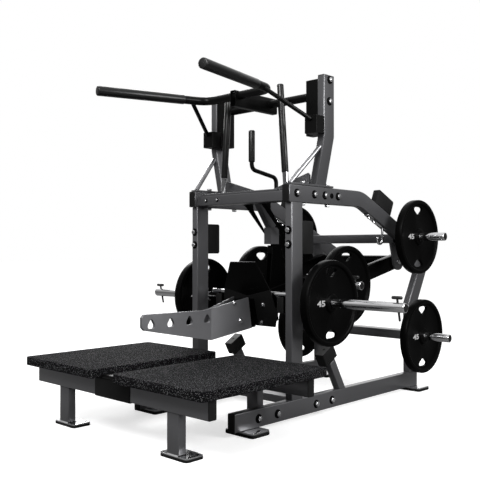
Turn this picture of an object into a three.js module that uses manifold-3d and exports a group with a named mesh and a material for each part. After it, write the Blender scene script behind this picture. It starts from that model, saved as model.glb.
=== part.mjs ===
// Belt squat machine: a plate loaded lever arm in a bolted tube frame.
// Millimetres, +Z up. The front is -Y, where the user stands on the two decks.
// Sizes along Y are first set out from the front face of the front uprights, and the
// whole model is then moved so that the middle of its length is at Y = 0.

import * as THREE from 'three';
import { mergeVertices } from 'three/addons/utils/BufferGeometryUtils.js';
import Module from 'manifold-3d';

const wasm = await Module();
wasm.setup();

// Clearances
const fitGap = 0.3;             // between touching pieces
const weldIn = 1.5;             // how far welded pieces run into each other
const slideGap = 1;             // between a plate's bore and its horn, on the radius
const cutOver = 5;              // how far a cut runs past the face it opens

// Frame tube
const tubeWide = 45;
const tubeTall = 90;
const tubeWall = 3;
const tubeCorner = 6;

// Frame as a whole
const frameHalf = 377;          // outer face of the side frames from the middle
const topHeight = 1220;         // top of the side tubes
const railTop = 113;
const railFront = -417;
const railRear = 1243;
const uprightDepth = 90;
const topTubeFront = -19;

// Curved side tube
const bendCentreY = 590;
const bendInner = 172;
const slopeDeg = 24;
const slopeRun = 806;           // straight length after the bend

// Rear upright
const rearUprightY = 1152;
const rearBendZ = 535;
const rearLeanDeg = 30;

// Cross members
const crossTall = 56;
const frontCrossY = 0;
const frontCrossDrop = 84;      // from the side tubes' top to the crossbar's underside
const shelfThick = 10;          // plate on the front crossbar that carries the vertical grips
const shelfRear = 145;
const rearCrossUpperY = 1040;
const rearCrossUpperDrop = 296;
const rearCrossLowerZ = 316;
const baseCrossY = 226;
const veeY = 205;
const veeThick = 12;
const veeDrop = 25;             // how far the vee reaches below the side tubes' top
const veeDipRise = 1;
const veeTopRise = 78;
const veeLandHalf = 60;

// Feet under the rails
const footWide = 185;
const footLong = 128;
const footFrontY = -372;
const footRearY = 1150;
const footCorner = 16;

// Posts that carry the overhead handles
const postY = 205;
const postLean = 55;            // how far the foot of a post stands in from its head
const postHead = 430;           // outer face of the straight part from the middle
const postBendZ = 1486;
const postTopZ = 1814;
const postPlateThick = 10;
const postPlateFront = -6;
const postPlateRear = 357;
const postPlateProud = 1.5;
const stayDia = 25;
const stayFootY = 12;
const stayHeadZ = 1455;

// Overhead handles
const handleDia = 46;
const handleGripDia = 52;
const handleGripGap = 150;      // bare tube between the bend and the rubber
const handleBarY = -10;
const handleBarZ = 1727;
const handleBendX = 238;
const handleEndX = 401;
const handleEndY = -646;
const handleEndZ = 1714;
const handleBendRadius = 70;
const spineFrontY = -45;
const spineRearY = 300;
const spineBottom = 1664;
const spineTall = 88;
const spineWide = 42;
const crossTubeY = 245;
const crossTubeZ = 1714;
const bracketWide = 85;
const bracketTop = 1798;
const bracketBottom = 1497;
const bracketY = 215;
const bracketDeep = 60;
const saddleFrontY = 140;
const saddleTop = 1590;
const saddleInset = 80;         // how far the saddle reaches in from the post's outer face
const braceDia = 23;
const braceTopY = -110;
const braceFootZ = 1573;

// Vertical grips
const shaftDia = 32;
const shaftGripDia = 38;
const shaftY = 121;
const shaftFootX = 239;
const shaftTopX = 196;
const shaftTopZ = 1778;
const shaftGripFrom = 1300;

// Stop blocks
const stopLong = 174;
const stopDeep = 93;
const stopThick = 41;
const stopDrop = 360;           // from the side tubes' top to the block's underside
const stopOnSlopeAt = 95;       // along the slope, from the end of the bend
const stopChamfer = 8;

// Belt rests: chrome hooks under the slopes
const hookBarLong = 205;
const hookBarWide = 32;
const hookBarThick = 6;
const hookBarAt = 55;
const hookDia = 14;
const hookDrop = 68;
const hookBend = 27;
const hookTip = 40;             // how far the tip turns up again

// Bumpers at the bottom of the arm's travel
const bumperInset = 32;         // its middle, in from the frame's outer face
const bumperWide = 58;
const bumperLong = 108;
const bumperThick = 75;
const bumperY = 312;
const bumperZ = 338;
const bumperPostDeep = 50;

// Horns and plates
const hornDia = 49;
const hornWall = 5;
const hornEndRound = 4;
const plateDia = 450;
const plateThick = 45;
const plateWebThick = 14;
const plateRim = 24;
const plateHubDia = 96;
const plateGripAt = 160;
const plateGripWide = 100;
const plateGripTall = 46;
const collarDia = 78;
const collarThick = 12;
const frontPlateOut = 121;      // the plate's outer face, out from the frame
const frontHornBare = 425;      // horn past the plate's outer face
const rearPlateGap = 4;         // between the rear plate and the arm's rail
const rearHornBare = 87;
const storePlateOut = 123;
const storeHornBare = 164;
const upperStoreAlong = 446;    // along the slope, from the end of the bend
const upperStoreUp = 30;
const lowerStoreForward = 20;   // in front of the rear upright's front face
const lowerStoreZ = 352;
const flangeSize = 84;
const flangeReach = 60;         // how far the lower flange runs back to cover the upright
const flangeThick = 8;

// Pins through the arm's horns
const pinDia = 11;
const pinLong = 118;
const pinHandleDia = 17;
const pinHandleLong = 56;
const pinFromEnd = 42;
const pinHeadAbove = 16;

// Arm: its own lengths run forward from the pivot
const pivotY = 1130;
const pivotZ = 808;
const armHornY = 192;
const armHornZ = 605;
const rearHornAt = 600;
const armSideGap = 32;          // between the arm's rails and the uprights
const pivotTubeDia = 76;
const pivotShaftDia = 38;
const pivotPlateThick = 16;
const pivotPlateRound = 54;
const pivotSideGap = 2;
const pivotShaftProud = 8;
const yokeInset = 4;            // the yoke's ends, in from the rails' outer faces
const boomHalf = 49;
const boomFront = 1330;
const boomTop = 34;
const boomBottom = -104;
const hoodFrontY = 30;          // the hood is set out in the machine's own Y and Z
const hoodRearY = 82;
const hoodPlate = 8;
const hoodFootHalf = 155;
const hoodFootZ = 575;
const hoodWaistHalf = 170;
const hoodWaistZ = 725;
const hoodTopHalf = 96;
const hoodTopZ = 812;
const webInner = 64;            // plates inside the hood that run back to the yoke
const webThick = 8;
const yokeJoinY = 151;          // where the plates and blocks on its front run into the yoke
const webPoints = [[34, 585], [yokeJoinY, 585], [yokeJoinY, 632], [82, 700], [34, 700]];
const stubFrontY = 80;          // short blocks on the yoke's front, inside the rails
const stubZ = [545, 630];
const carryDia = 30;            // bright bar that lies on the blocks
const carryY = 98;
const cheekHalf = 57;           // outer face of the plates on the boom's sides
const cheekThick = 10;
const cheekPoints = [[52, 633], [192, 656], [260, 580], [269, 482], [192, 460], [60, 465]];
const spineHalf = 30;
const towerHalf = 21;
const towerPlate = 8;
const towerFootFront = 905;
const towerFootRear = 745;
const towerRearY = 332;
const towerRearZ = 921;
const towerNeckY = 288;
const towerShoulderZ = 908;

// Belt plates at the front of the arm, in the machine's own Y and Z
const beltTipY = -675;
const beltStepFront = -337;
const beltStepRear = -216;
const beltRearY = 50;
const beltThick = 8;
const beltPairGap = 1;
const beltClear = 3;            // between the belt plates and the hood
const beltTopBreak = -263;
const beltTipTop = 572;
const beltTipBottom = 494;
const beltTopFlat = 567;
const beltTopRear = 624;
const beltBottomMid = 431;
const beltBottomLow = 408;
const beltBottomRear = 456;
const beltTipRound = 16;
const beltHoleFirstY = -617;
const beltHolePitch = 124;
const beltHoleZ = 524;
const beltHoleWide = 44;
const beltHoleTall = 46;
const beltHoles = 4;

// Start lever and the catch on it
const leverY = 165;
const leverRise = 24;           // turning tube above the crossbar's underside
const leverRodDia = 24;
const leverGripDia = 36;
const leverGripY = 106;
const leverGripFrom = 1373;
const leverGripTo = 1551;
const leverTubeDia = 40;
const leverTubeHalf = 56;
const leverCrank = 150;         // how far the rod runs back over the vee crossmember
const leverBend = 34;
const leverGripTail = 40;       // bare rod under the grip before the first bend
const leverDip = 74;            // from the grip's lower end to the rear bend
const leverBendRise = 22;       // rear bend above the turning tube
const leverBoltDia = 20;
const earThick = 8;
const earHalf = 62;
const earDeep = 46;
const strapTopY = [188, 118];   // straps down both sides of the catch
const strapFoot = [[290, 1004], [262, 1004]];
const catchTubeWide = 40;
const catchTubeDeep = 50;
const catchBoxHalf = 27;
const catchBoxFront = 240;
const catchBoxRear = 308;
const catchBoxBottom = 915;
const catchBoxTop = 1010;
const catchWall = 3;
const toeDia = 10;
const toeZ = 945;
const noseFront = 262;
const noseBottom = 956;
const noseTop = 970;
const toeClear = 7;

// Platform
const deckHalf = 672;
const deckInner = 76;
const deckFront = -904;
const deckRear = -88;
const deckTop = 328;
const deckThick = 43;
const deckCorner = 26;
const beamTall = 88;
const beamFrontY = -841;
const beamRearY = -203;
const beamEnd = 639;
const beamClear = 12;
const joinerHalf = 133;
const joinerWall = 4;
const legWide = 76;
const legDeep = 45;
const legX = 415;
const legY = -812;
const padWide = 176;
const padLong = 104;
const padThick = 18;
const padY = -783;
const padCorner = 20;
const legPlateLong = 166;
const legPlateTall = 78;
const legPlateThick = 8;

const railBoltYs = [-252, -112];       // bolts that hold the rear beams to the rails

// Worked out from the sizes above
const deg = Math.PI / 180;
const railBottom = railTop - tubeTall;
const frameInner = frameHalf - tubeWide;
const frameMid = frameHalf - tubeWide / 2;
const topBottom = topHeight - tubeTall;
const bendOuter = bendInner + tubeTall;
const bendCentreZ = topHeight - bendOuter;
const slope = slopeDeg * deg;
const rearLean = rearLeanDeg * deg;
const plateTop = topHeight + postPlateThick;
const armTilt = Math.atan2(pivotZ - armHornZ, pivotY - armHornY);
const frontHornAt = Math.hypot(pivotZ - armHornZ, pivotY - armHornY);
const half = tubeTall / 2;
const frontCrossZ = topHeight - frontCrossDrop;
const rearCrossUpperZ = topHeight - rearCrossUpperDrop;
const veeBottom = topHeight - veeDrop;
const veeDip = topHeight + veeDipRise;
const veeTop = topHeight + veeTopRise;
const stopBottom = topHeight - stopDrop;
const leverZ = frontCrossZ + leverRise;
const bumperX = frameHalf - bumperInset;
const railOuter = frameInner - armSideGap;
const railInner = railOuter - tubeWide;
const yokeHalf = railOuter - yokeInset;
const frontPlateFace = frameHalf + frontPlateOut;
const hornReach = frontPlateFace + frontHornBare;
const rearPlateFace = railOuter + rearPlateGap + plateThick;
const rearHornEnd = rearPlateFace + rearHornBare;
const storePlateFace = frameHalf + storePlateOut;
const storeHornEnd = storePlateFace + storeHornBare;
const lowerStoreY = rearUprightY - lowerStoreForward;
const crossbarTop = frontCrossZ + crossTall;
const shelfTop = crossbarTop + shelfThick;
const deckBottom = deckTop - deckThick;
const beamTop = deckBottom - fitGap;
const beamBottom = beamTop - beamTall;
const pivotPlateFrom = railOuter + pivotSideGap;
const farOut = 2 * hornReach;

// Outlines in shares of their width and height, from their middle
const gripHoleShares = [[-0.15, -0.5], [0.15, -0.5], [0.5, 0.1], [0.45, 0.4], [0.25, 0.5],
  [-0.25, 0.5], [-0.45, 0.4], [-0.5, 0.1]];
const beltHoleShares = [[-0.35, -0.5], [0.35, -0.5], [0.5, -0.35], [0.5, -0.1], [0.18, 0.4],
  [0, 0.5], [-0.18, 0.4], [-0.5, -0.1], [-0.5, -0.35]];

// Materials
function finish(colour, roughness, metalness) {
  return new THREE.MeshStandardMaterial({ color: colour, roughness, metalness });
}
const greyPaint = finish(0x5c5c5f, 0.45, 0.3);
const blackPaint = finish(0x141414, 0.5, 0.2);
const chrome = finish(0xc9c9cc, 0.15, 1);
const rubber = finish(0x1d1d1d, 0.85, 0);
const speckled = finish(0x26272a, 0.95, 0);
const urethane = finish(0x0d0d0e, 0.55, 0);
const zinc = finish(0xb4b4b6, 0.35, 0.9);

const machine = new THREE.Group();
const arm = new THREE.Group();
const sides = [['left', -1], ['right', 1]];

// Shapes and solids

function ring(cx, cy, radius, count) {
  const points = [];
  for (let i = 0; i < count; i += 1) {
    const angle = (i / count) * 2 * Math.PI;
    points.push(new THREE.Vector2(cx + radius * Math.cos(angle), cy + radius * Math.sin(angle)));
  }
  return points;
}

function roundedRect([u0, u1], [v0, v1], corner, steps = 3) {
  const centres = [[u1 - corner, v1 - corner], [u0 + corner, v1 - corner],
    [u0 + corner, v0 + corner], [u1 - corner, v0 + corner]];
  const points = [];
  centres.forEach(([cu, cv], quarter) => {
    for (let i = 0; i <= steps; i += 1) {
      const angle = (quarter + i / steps) * Math.PI / 2;
      points.push(new THREE.Vector2(cu + corner * Math.cos(angle), cv + corner * Math.sin(angle)));
    }
  });
  return points;
}

function outlineOf(list) {
  return list.map(([u, v]) => new THREE.Vector2(u, v));
}

// An outline from its shares, with its middle at (cu, cv); way is -1 to turn it over.
function fromShares(shares, cu, cv, wide, tall, way = 1) {
  return shares.map(([u, v]) => new THREE.Vector2(cu + u * wide, cv + way * v * tall));
}

// Extrudes an outline from one value to another along an axis.
// Along x the outline is in (y, z), along y in (x, z), along z in (x, y).
function extrude(axis, [from, to], outline, ...holes) {
  const shape = new THREE.Shape(outline);
  shape.holes = holes.map((hole) => new THREE.Path(hole));
  const geometry = new THREE.ExtrudeGeometry(shape, { depth: to - from, bevelEnabled: false });
  if (axis === 'x') {
    geometry.applyMatrix4(new THREE.Matrix4().set(0, 0, 1, from, 1, 0, 0, 0, 0, 1, 0, 0, 0, 0, 0, 1));
  } else if (axis === 'y') {
    geometry.rotateX(Math.PI / 2);
    geometry.translate(0, to, 0);
  } else {
    geometry.translate(0, 0, from);
  }
  return geometry;
}

function block([x0, x1], [y0, y1], [z0, z1]) {
  const geometry = new THREE.BoxGeometry(x1 - x0, y1 - y0, z1 - z0);
  geometry.translate((x0 + x1) / 2, (y0 + y1) / 2, (z0 + z1) / 2);
  return geometry;
}

// A span of x on one side of the machine: side is -1 on the left and 1 on the right.
function span(side, a, b) {
  return side > 0 ? [a, b] : [-b, -a];
}

// A rectangular tube along an axis, open at both ends.
function tube(axis, along, u, v) {
  const bore = roundedRect([u[0] + tubeWall, u[1] - tubeWall], [v[0] + tubeWall, v[1] - tubeWall],
    tubeCorner - tubeWall, 1);
  return extrude(axis, along, roundedRect(u, v, tubeCorner, 2), bore);
}

function rod(from, to, dia, count = 16) {
  const a = new THREE.Vector3(...from);
  const b = new THREE.Vector3(...to);
  const way = b.clone().sub(a);
  const geometry = new THREE.CylinderGeometry(dia / 2, dia / 2, way.length(), count);
  geometry.applyQuaternion(
    new THREE.Quaternion().setFromUnitVectors(new THREE.Vector3(0, 1, 0), way.normalize()));
  geometry.translate((a.x + b.x) / 2, (a.y + b.y) / 2, (a.z + b.z) / 2);
  return geometry;
}

// The diameter of a faceted hole that clears a round piece all round.
function holeFor(dia, count) {
  return (dia + 2 * fitGap) / Math.cos(Math.PI / count);
}

// A line through points, with each corner rounded.
function bentLine(points, bend) {
  const path = new THREE.CurvePath();
  const vectors = points.map((p) => new THREE.Vector3(...p));
  let last = vectors[0];
  for (let i = 1; i < vectors.length - 1; i += 1) {
    const corner = vectors[i];
    const back = corner.clone().sub(last).normalize().multiplyScalar(-bend).add(corner);
    const on = vectors[i + 1].clone().sub(corner).normalize().multiplyScalar(bend).add(corner);
    path.add(new THREE.LineCurve3(last, back));
    path.add(new THREE.QuadraticBezierCurve3(back, corner, on));
    last = on;
  }
  path.add(new THREE.LineCurve3(last, vectors[vectors.length - 1]));
  return path;
}

function bentRod(points, bend, dia, steps, count, wall = 0) {
  const shape = new THREE.Shape(ring(0, 0, dia / 2, count));
  if (wall > 0) shape.holes = [new THREE.Path(ring(0, 0, dia / 2 - wall, count))];
  return new THREE.ExtrudeGeometry(shape,
    { steps, extrudePath: bentLine(points, bend), bevelEnabled: false });
}

// A ring turned about the x axis, from its section in (radius, x).
function turned(section, side, y, z, count) {
  const geometry = new THREE.LatheGeometry(outlineOf(section), count);
  geometry.rotateZ(side > 0 ? -Math.PI / 2 : Math.PI / 2);
  geometry.translate(0, y, z);
  return geometry;
}

function bare(geometry) {
  const plain = geometry.index ? geometry.toNonIndexed() : geometry.clone();
  plain.deleteAttribute('normal');
  plain.deleteAttribute('uv');
  return plain;
}

function solidOf(geometry) {
  const merged = mergeVertices(bare(geometry));
  return new wasm.Manifold(new wasm.Mesh({
    numProp: 3,
    vertProperties: merged.attributes.position.array,
    triVerts: Uint32Array.from(merged.index.array),
  }));
}

function geometryOf(solid) {
  const mesh = solid.getMesh();
  const geometry = new THREE.BufferGeometry();
  geometry.setAttribute('position', new THREE.BufferAttribute(mesh.vertProperties, 3));
  geometry.setIndex(new THREE.BufferAttribute(mesh.triVerts, 1));
  return geometry;
}

function join(...geometries) {
  return geometryOf(geometries.map(solidOf).reduce((sum, next) => sum.add(next)));
}

function cut(geometry, ...tools) {
  return geometryOf(tools.map(solidOf).reduce((rest, tool) => rest.subtract(tool), solidOf(geometry)));
}

function add(name, geometry, material, group = machine) {
  const mesh = new THREE.Mesh(geometry, material);
  mesh.name = name;
  group.add(mesh);
  return mesh;
}

// A horn's section in (radius, x): a tube with a collar that stops the plate, clear of what
// carries the horn.
function hornSection(from, end, face, carrier) {
  const outer = hornDia / 2;
  const inner = outer - hornWall;
  const seat = face - plateThick - fitGap;
  const collar = Math.max(seat - collarThick, carrier + fitGap);
  return [[inner, from], [outer, from], [outer, collar], [collarDia / 2, collar],
    [collarDia / 2, seat], [outer, seat], [outer, end - hornEndRound],
    [outer - hornEndRound, end], [inner, end], [inner, from]];
}

// A storage horn with the flange that fixes it to the side frame.
function storeHorn(side, y, z, reach) {
  const from = frameHalf - weldIn;
  const flange = extrude('x', span(side, from, frameHalf + flangeThick),
    roundedRect([y - flangeSize / 2, y + flangeSize / 2 + reach],
      [z - flangeSize / 2, z + flangeSize / 2], tubeCorner, 1), ring(y, z, hornDia / 2 - weldIn, 16));
  return join(turned(hornSection(from, storeHornEnd, storePlateFace, frameHalf), side, y, z, 16), flange);
}

// Side frames: rails, uprights and curved top tubes

// The side tube seen from the side: level, round the bend, then down the slope.
function topTubeOutline(inset, overrun) {
  const outer = bendOuter - inset;
  const inner = bendInner + inset;
  const steps = 6;
  const points = [[topTubeFront - overrun, topHeight - inset]];
  for (let i = 0; i <= steps; i += 1) {
    const angle = slope * i / steps;
    points.push([bendCentreY + outer * Math.sin(angle), bendCentreZ + outer * Math.cos(angle)]);
  }
  points.push(onSlope(slopeRun + overrun, tubeTall - inset));
  points.push(onSlope(slopeRun + overrun, inset));
  for (let i = steps; i >= 0; i -= 1) {
    const angle = slope * i / steps;
    points.push([bendCentreY + inner * Math.sin(angle), bendCentreZ + inner * Math.cos(angle)]);
  }
  points.push([topTubeFront - overrun, topBottom + inset]);
  return outlineOf(points);
}

// A point on the slope: along it from the end of the bend, and up from the tube's underside.
function onSlope(along, up) {
  const out = bendInner + up;
  return [bendCentreY + out * Math.sin(slope) + along * Math.cos(slope),
    bendCentreZ + out * Math.cos(slope) - along * Math.sin(slope)];
}

// The rear upright: straight, then mitred to lean back until it meets the slope's underside.
function rearUprightOutline(inset, overrun) {
  const rise = (half - inset) * Math.tan(rearLean / 2);
  const front = [rearUprightY + inset, rearBendZ + rise];
  const back = [rearUprightY + uprightDepth - inset, rearBendZ - rise];
  const [seatY, seatZ] = onSlope(0, -fitGap);
  const lean = Math.tan(rearLean);
  const fall = Math.tan(slope);
  const head = ([y, z]) => {
    const up = (seatZ - z - fall * (y - seatY)) / (1 + fall * lean) + overrun;
    return [y + up * lean, z + up];
  };
  const foot = railTop + fitGap - overrun;
  return outlineOf([[front[0], foot], [back[0], foot], back, head(back), head(front), front]);
}

// A bumper's post stands on the rail, square to the bumper's face.
const bumperAngle = Math.atan2(pivotZ - bumperZ, pivotY - bumperY);
function onBumper(along, up) {
  return [bumperY + along * Math.cos(bumperAngle) - up * Math.sin(bumperAngle),
    bumperZ + along * Math.sin(bumperAngle) + up * Math.cos(bumperAngle)];
}
function bumperOutline(reach, low, high) {
  return outlineOf([onBumper(-reach, low), onBumper(reach, low), onBumper(reach, high),
    onBumper(-reach, high)]);
}
function bumperPost(x, inset, foot) {
  const outline = bumperOutline(bumperPostDeep / 2 - inset, -farOut, -bumperThick - fitGap - inset);
  return cut(extrude('x', [x[0] + inset, x[1] - inset], outline),
    block([-farOut, farOut], [-farOut, farOut], [-farOut, foot]));
}

const [upperStoreY, upperStoreZ] = onSlope(upperStoreAlong, upperStoreUp);
for (const [name, side] of sides) {
  const x = span(side, frameInner, frameHalf);
  const bore = [x[0] + tubeWall, x[1] - tubeWall];
  const feet = [footFrontY, footRearY].map((y) => extrude('z', [0, railBottom + weldIn],
    roundedRect([side * frameMid - footWide / 2, side * frameMid + footWide / 2],
      [y, y + footLong], footCorner)));
  const rail = join(tube('y', [railFront, railRear], x, [railBottom, railTop]),
    bumperPost(x, 0, railTop - weldIn), ...feet);
  add(`${name}_base_rail`, cut(rail, bumperPost(x, tubeWall, railTop - half)), greyPaint);
  add(`${name}_front_upright`,
    tube('z', [railTop + fitGap, topBottom - fitGap], x, [0, uprightDepth]), greyPaint);
  add(`${name}_top_tube`, join(
    cut(extrude('x', x, topTubeOutline(0, 0)), extrude('x', bore, topTubeOutline(tubeWall, cutOver))),
    storeHorn(side, upperStoreY, upperStoreZ, 0)), greyPaint);
  add(`${name}_rear_upright`, join(
    cut(extrude('x', x, rearUprightOutline(0, 0)),
      extrude('x', bore, rearUprightOutline(tubeWall, cutOver))),
    storeHorn(side, lowerStoreY, lowerStoreZ, flangeReach)), greyPaint);
  add(`${name}_bumper`, extrude('x', [side * bumperX - bumperWide / 2, side * bumperX + bumperWide / 2],
    bumperOutline(bumperLong / 2, -bumperThick, 0)), rubber);
}

// Cross members

const between = [fitGap - frameInner, frameInner - fitGap];
const shelfHalf = shaftFootX + shaftGripDia;
const crossbarRear = frontCrossY + tubeTall;
const earY = [crossbarRear - weldIn, leverY + earDeep / 2];
const ears = sides.map(([, side]) => extrude('x', span(side, earHalf, earHalf + earThick), outlineOf([
  [earY[0], frontCrossZ], [earY[0], crossbarTop - tubeCorner], [earY[1], crossbarTop - tubeCorner],
  [strapTopY[0], leverZ - earDeep], ...strapFoot, [strapTopY[1], frontCrossZ]])));
const shafts = sides.map(([, side]) => rod([side * shaftFootX, shaftY, shelfTop - weldIn],
  [side * shaftTopX, shaftY, shaftTopZ], shaftDia, 14));
const shelf = block([-shelfHalf, shelfHalf], [frontCrossY, shelfRear], [crossbarTop - weldIn, shelfTop]);
const leverBolt = rod([-earHalf - weldIn, leverY, leverZ], [earHalf + weldIn, leverY, leverZ],
  leverBoltDia, 12);
add('front_crossbar', join(
  tube('x', between, [frontCrossY, crossbarRear], [frontCrossZ, crossbarTop]),
  shelf, ...shafts, ...ears, leverBolt), greyPaint);

const pivotPlates = sides.map(([, side]) => {
  const round = [];
  const steps = 8;
  for (let i = 0; i <= steps; i += 1) {
    const angle = Math.PI * (1 + i / steps);
    round.push([pivotY + pivotPlateRound * Math.cos(angle), pivotZ + pivotPlateRound * Math.sin(angle)]);
  }
  return extrude('x', span(side, pivotPlateFrom, pivotPlateFrom + pivotPlateThick), outlineOf([...round,
    [rearCrossUpperY + tubeTall, rearCrossUpperZ + weldIn], [rearCrossUpperY, rearCrossUpperZ + weldIn]]),
  ring(pivotY, pivotZ, holeFor(pivotShaftDia, 20) / 2, 20));
});
add('rear_upper_crossbar', join(tube('x', between, [rearCrossUpperY, rearCrossUpperY + tubeTall],
  [rearCrossUpperZ, rearCrossUpperZ + crossTall]), ...pivotPlates), greyPaint);
add('rear_lower_crossbar', tube('x', between, [rearUprightY, rearUprightY + uprightDepth],
  [rearCrossLowerZ, rearCrossLowerZ + crossTall]), greyPaint);
add('base_crossmember', tube('x', between, [baseCrossY, baseCrossY + tubeTall],
  [railBottom, railBottom + tubeWide]), greyPaint);
const [, veeEnd] = between;
add('vee_crossmember', extrude('y', [veeY, veeY + veeThick], outlineOf([
  [-veeEnd, veeBottom], [veeEnd, veeBottom], [veeEnd, topHeight],
  [veeEnd - postPlateProud - fitGap, topHeight], [veeEnd - postPlateProud - fitGap, veeTop - veeThick],
  [veeEnd - veeThick, veeTop], [veeLandHalf, veeDip], [-veeLandHalf, veeDip], [veeThick - veeEnd, veeTop],
  [postPlateProud + fitGap - veeEnd, veeTop - veeThick],
  [postPlateProud + fitGap - veeEnd, topHeight], [-veeEnd, topHeight]])), greyPaint);

// Posts, their plates and stays

for (const [name, side] of sides) {
  const plate = block(span(side, frameInner - postPlateProud, frameHalf + postPlateProud),
    [postPlateFront, postPlateRear], [topHeight + fitGap, plateTop]);
  const outline = (inset, overrun) => outlineOf([
    [side * (postHead - postLean - inset), plateTop - overrun], [side * (postHead - inset), postBendZ],
    [side * (postHead - inset), postTopZ + overrun],
    [side * (postHead - tubeWide + inset), postTopZ + overrun],
    [side * (postHead - tubeWide + inset), postBendZ],
    [side * (postHead - postLean - tubeWide + inset), plateTop - overrun]]);
  const post = cut(extrude('y', [postY, postY + tubeTall], outline(0, weldIn)),
    extrude('y', [postY + tubeWall, postY + tubeTall - tubeWall], outline(tubeWall, cutOver)));
  const leanAtStay = postLean * (postBendZ - stayHeadZ) / (postBendZ - plateTop);
  const stay = cut(rod([side * frameMid, stayFootY, plateTop - stayDia],
    [side * (postHead - leanAtStay - tubeWide / 2), postY + stayDia, stayHeadZ + stayDia], stayDia, 14),
  block([-farOut, farOut], [-farOut, farOut], [0, plateTop - weldIn]),
  block([-farOut, farOut], [postY + weldIn, farOut], [0, postTopZ]));
  add(`${name}_handle_post`, join(plate, post, stay), greyPaint);
}

// Overhead handle frame

const barBore = holeFor(handleDia, 14);
const spineX = [-spineWide / 2, spineWide / 2];
const bracketInner = postHead - tubeWide - bracketWide;
const crossTube = extrude('x', [fitGap - bracketInner, bracketInner - fitGap],
  ring(crossTubeY, crossTubeZ, handleDia / 2, 14));
const crossTubeBore = extrude('x', [-bracketInner, bracketInner],
  ring(crossTubeY, crossTubeZ, handleDia / 2 - tubeWall, 14));
add('handle_spine', cut(join(tube('y', [spineFrontY, spineRearY], spineX,
  [spineBottom, spineBottom + spineTall]), crossTube), crossTubeBore,
extrude('x', [-spineWide, spineWide], ring(handleBarY, handleBarZ, barBore / 2, 14))), blackPaint);
const handleBraces = [];
for (const [name, side] of sides) {
  const inner = postHead - tubeWide - fitGap;
  add(`${name}_handle_bracket`, join(
    block(span(side, bracketInner, inner), [bracketY, bracketY + bracketDeep], [bracketBottom, bracketTop]),
    block(span(side, postHead - saddleInset, inner), [saddleFrontY, bracketY + weldIn],
      [bracketBottom, saddleTop]),
    block(span(side, postHead - saddleInset, postHead), [saddleFrontY, postY - fitGap],
      [bracketBottom, saddleTop])), blackPaint);

  // The rubber runs from past the brace to over the end of the bar.
  const bend = new THREE.Vector3(side * handleBendX, handleBarY, handleBarZ);
  const end = new THREE.Vector3(side * handleEndX, handleEndY, handleEndZ);
  const way = end.clone().sub(bend).normalize();
  const start = bend.clone().addScaledVector(way, handleGripGap);
  const onBar = (point, along) => point.clone().addScaledVector(way, along).toArray();
  add(`${name}_overhead_grip`, cut(rod(onBar(start, 0), onBar(end, tubeWall), handleGripDia, 14),
    rod(onBar(start, -cutOver), onBar(end, fitGap), barBore, 14)), rubber);

  const share = (handleBarY - braceTopY) / (handleBarY - handleEndY);
  const brace = rod(bend.clone().lerp(end, share).toArray(),
    [side * (postHead - saddleInset / 2), saddleFrontY + braceDia, braceFootZ - braceDia], braceDia, 10);
  handleBraces.push(cut(brace,
    block([-farOut, farOut], [saddleFrontY - fitGap, farOut], [0, handleBarZ])));
}
const handleLine = [
  [-handleEndX, handleEndY, handleEndZ], [-handleBendX, handleBarY, handleBarZ],
  [handleBendX, handleBarY, handleBarZ], [handleEndX, handleEndY, handleEndZ]];
const handleBar = bentRod(handleLine, handleBendRadius, handleDia, 28, 10);
const handleBore = bentRod(handleLine, handleBendRadius, handleDia - 2 * tubeWall, 28, 8);
add('overhead_handle_bar', cut(join(handleBar, ...handleBraces), handleBore), blackPaint);

// Rubber of the vertical grips
for (const [name, side] of sides) {
  const foot = new THREE.Vector3(side * shaftFootX, shaftY, shelfTop - weldIn);
  const head = new THREE.Vector3(side * shaftTopX, shaftY, shaftTopZ);
  const way = head.clone().sub(foot).normalize();
  const from = foot.clone().lerp(head, (shaftGripFrom - shelfTop) / (shaftTopZ - shelfTop));
  const onShaft = (point, along) => point.clone().addScaledVector(way, along).toArray();
  add(`${name}_vertical_grip`, cut(rod(onShaft(from, 0), onShaft(head, tubeWall), shaftGripDia, 14),
    rod(onShaft(from, -cutOver), onShaft(head, fitGap), holeFor(shaftDia, 14), 14)), rubber);
}

// Stop blocks behind the uprights and on the slopes

for (const [name, side] of sides) {
  const x = [side * frameMid - stopThick / 2, side * frameMid + stopThick / 2];
  const front = uprightDepth + fitGap;
  const rear = front + stopDeep;
  const top = stopBottom + stopLong;
  add(`${name}_upright_stop`, extrude('x', x, outlineOf([[front, stopBottom],
    [rear - stopChamfer, stopBottom], [rear, stopBottom + stopChamfer], [rear, top - stopChamfer],
    [rear - stopChamfer, top], [front, top]])), rubber);
  const seat = tubeTall + fitGap;
  const far = stopOnSlopeAt + stopLong;
  add(`${name}_slope_stop`, extrude('x', x, outlineOf([onSlope(stopOnSlopeAt, seat), onSlope(far, seat),
    onSlope(far, seat + stopDeep - stopChamfer), onSlope(far - stopChamfer, seat + stopDeep),
    onSlope(stopOnSlopeAt + stopChamfer, seat + stopDeep),
    onSlope(stopOnSlopeAt, seat + stopDeep - stopChamfer)])), rubber);
}

// Chrome hooks under the slopes

for (const [name, side] of sides) {
  const x = side * frameMid;
  const low = -fitGap - hookBarThick;
  const end = hookBarAt + hookBarLong;
  const bar = extrude('x', [x - hookBarWide / 2, x + hookBarWide / 2], outlineOf([
    onSlope(hookBarAt, low), onSlope(end, low), onSlope(end, -fitGap), onSlope(hookBarAt, -fitGap)]));
  const [hangY, hangZ] = onSlope(end - hookBarWide / 2, low + hookBarThick / 2);
  const bottom = hangZ - hookDrop - hookBend;
  const tipY = hangY - 2 * hookBend;
  add(`${name}_belt_hook`, join(bar, bentRod([[x, hangY, hangZ], [x, hangY, bottom], [x, tipY, bottom],
    [x, tipY, bottom + hookTip]], hookBend, hookDia, 20, 8)), chrome);
}

// Weight plates, each with a hub, a rim and two grip holes

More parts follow.
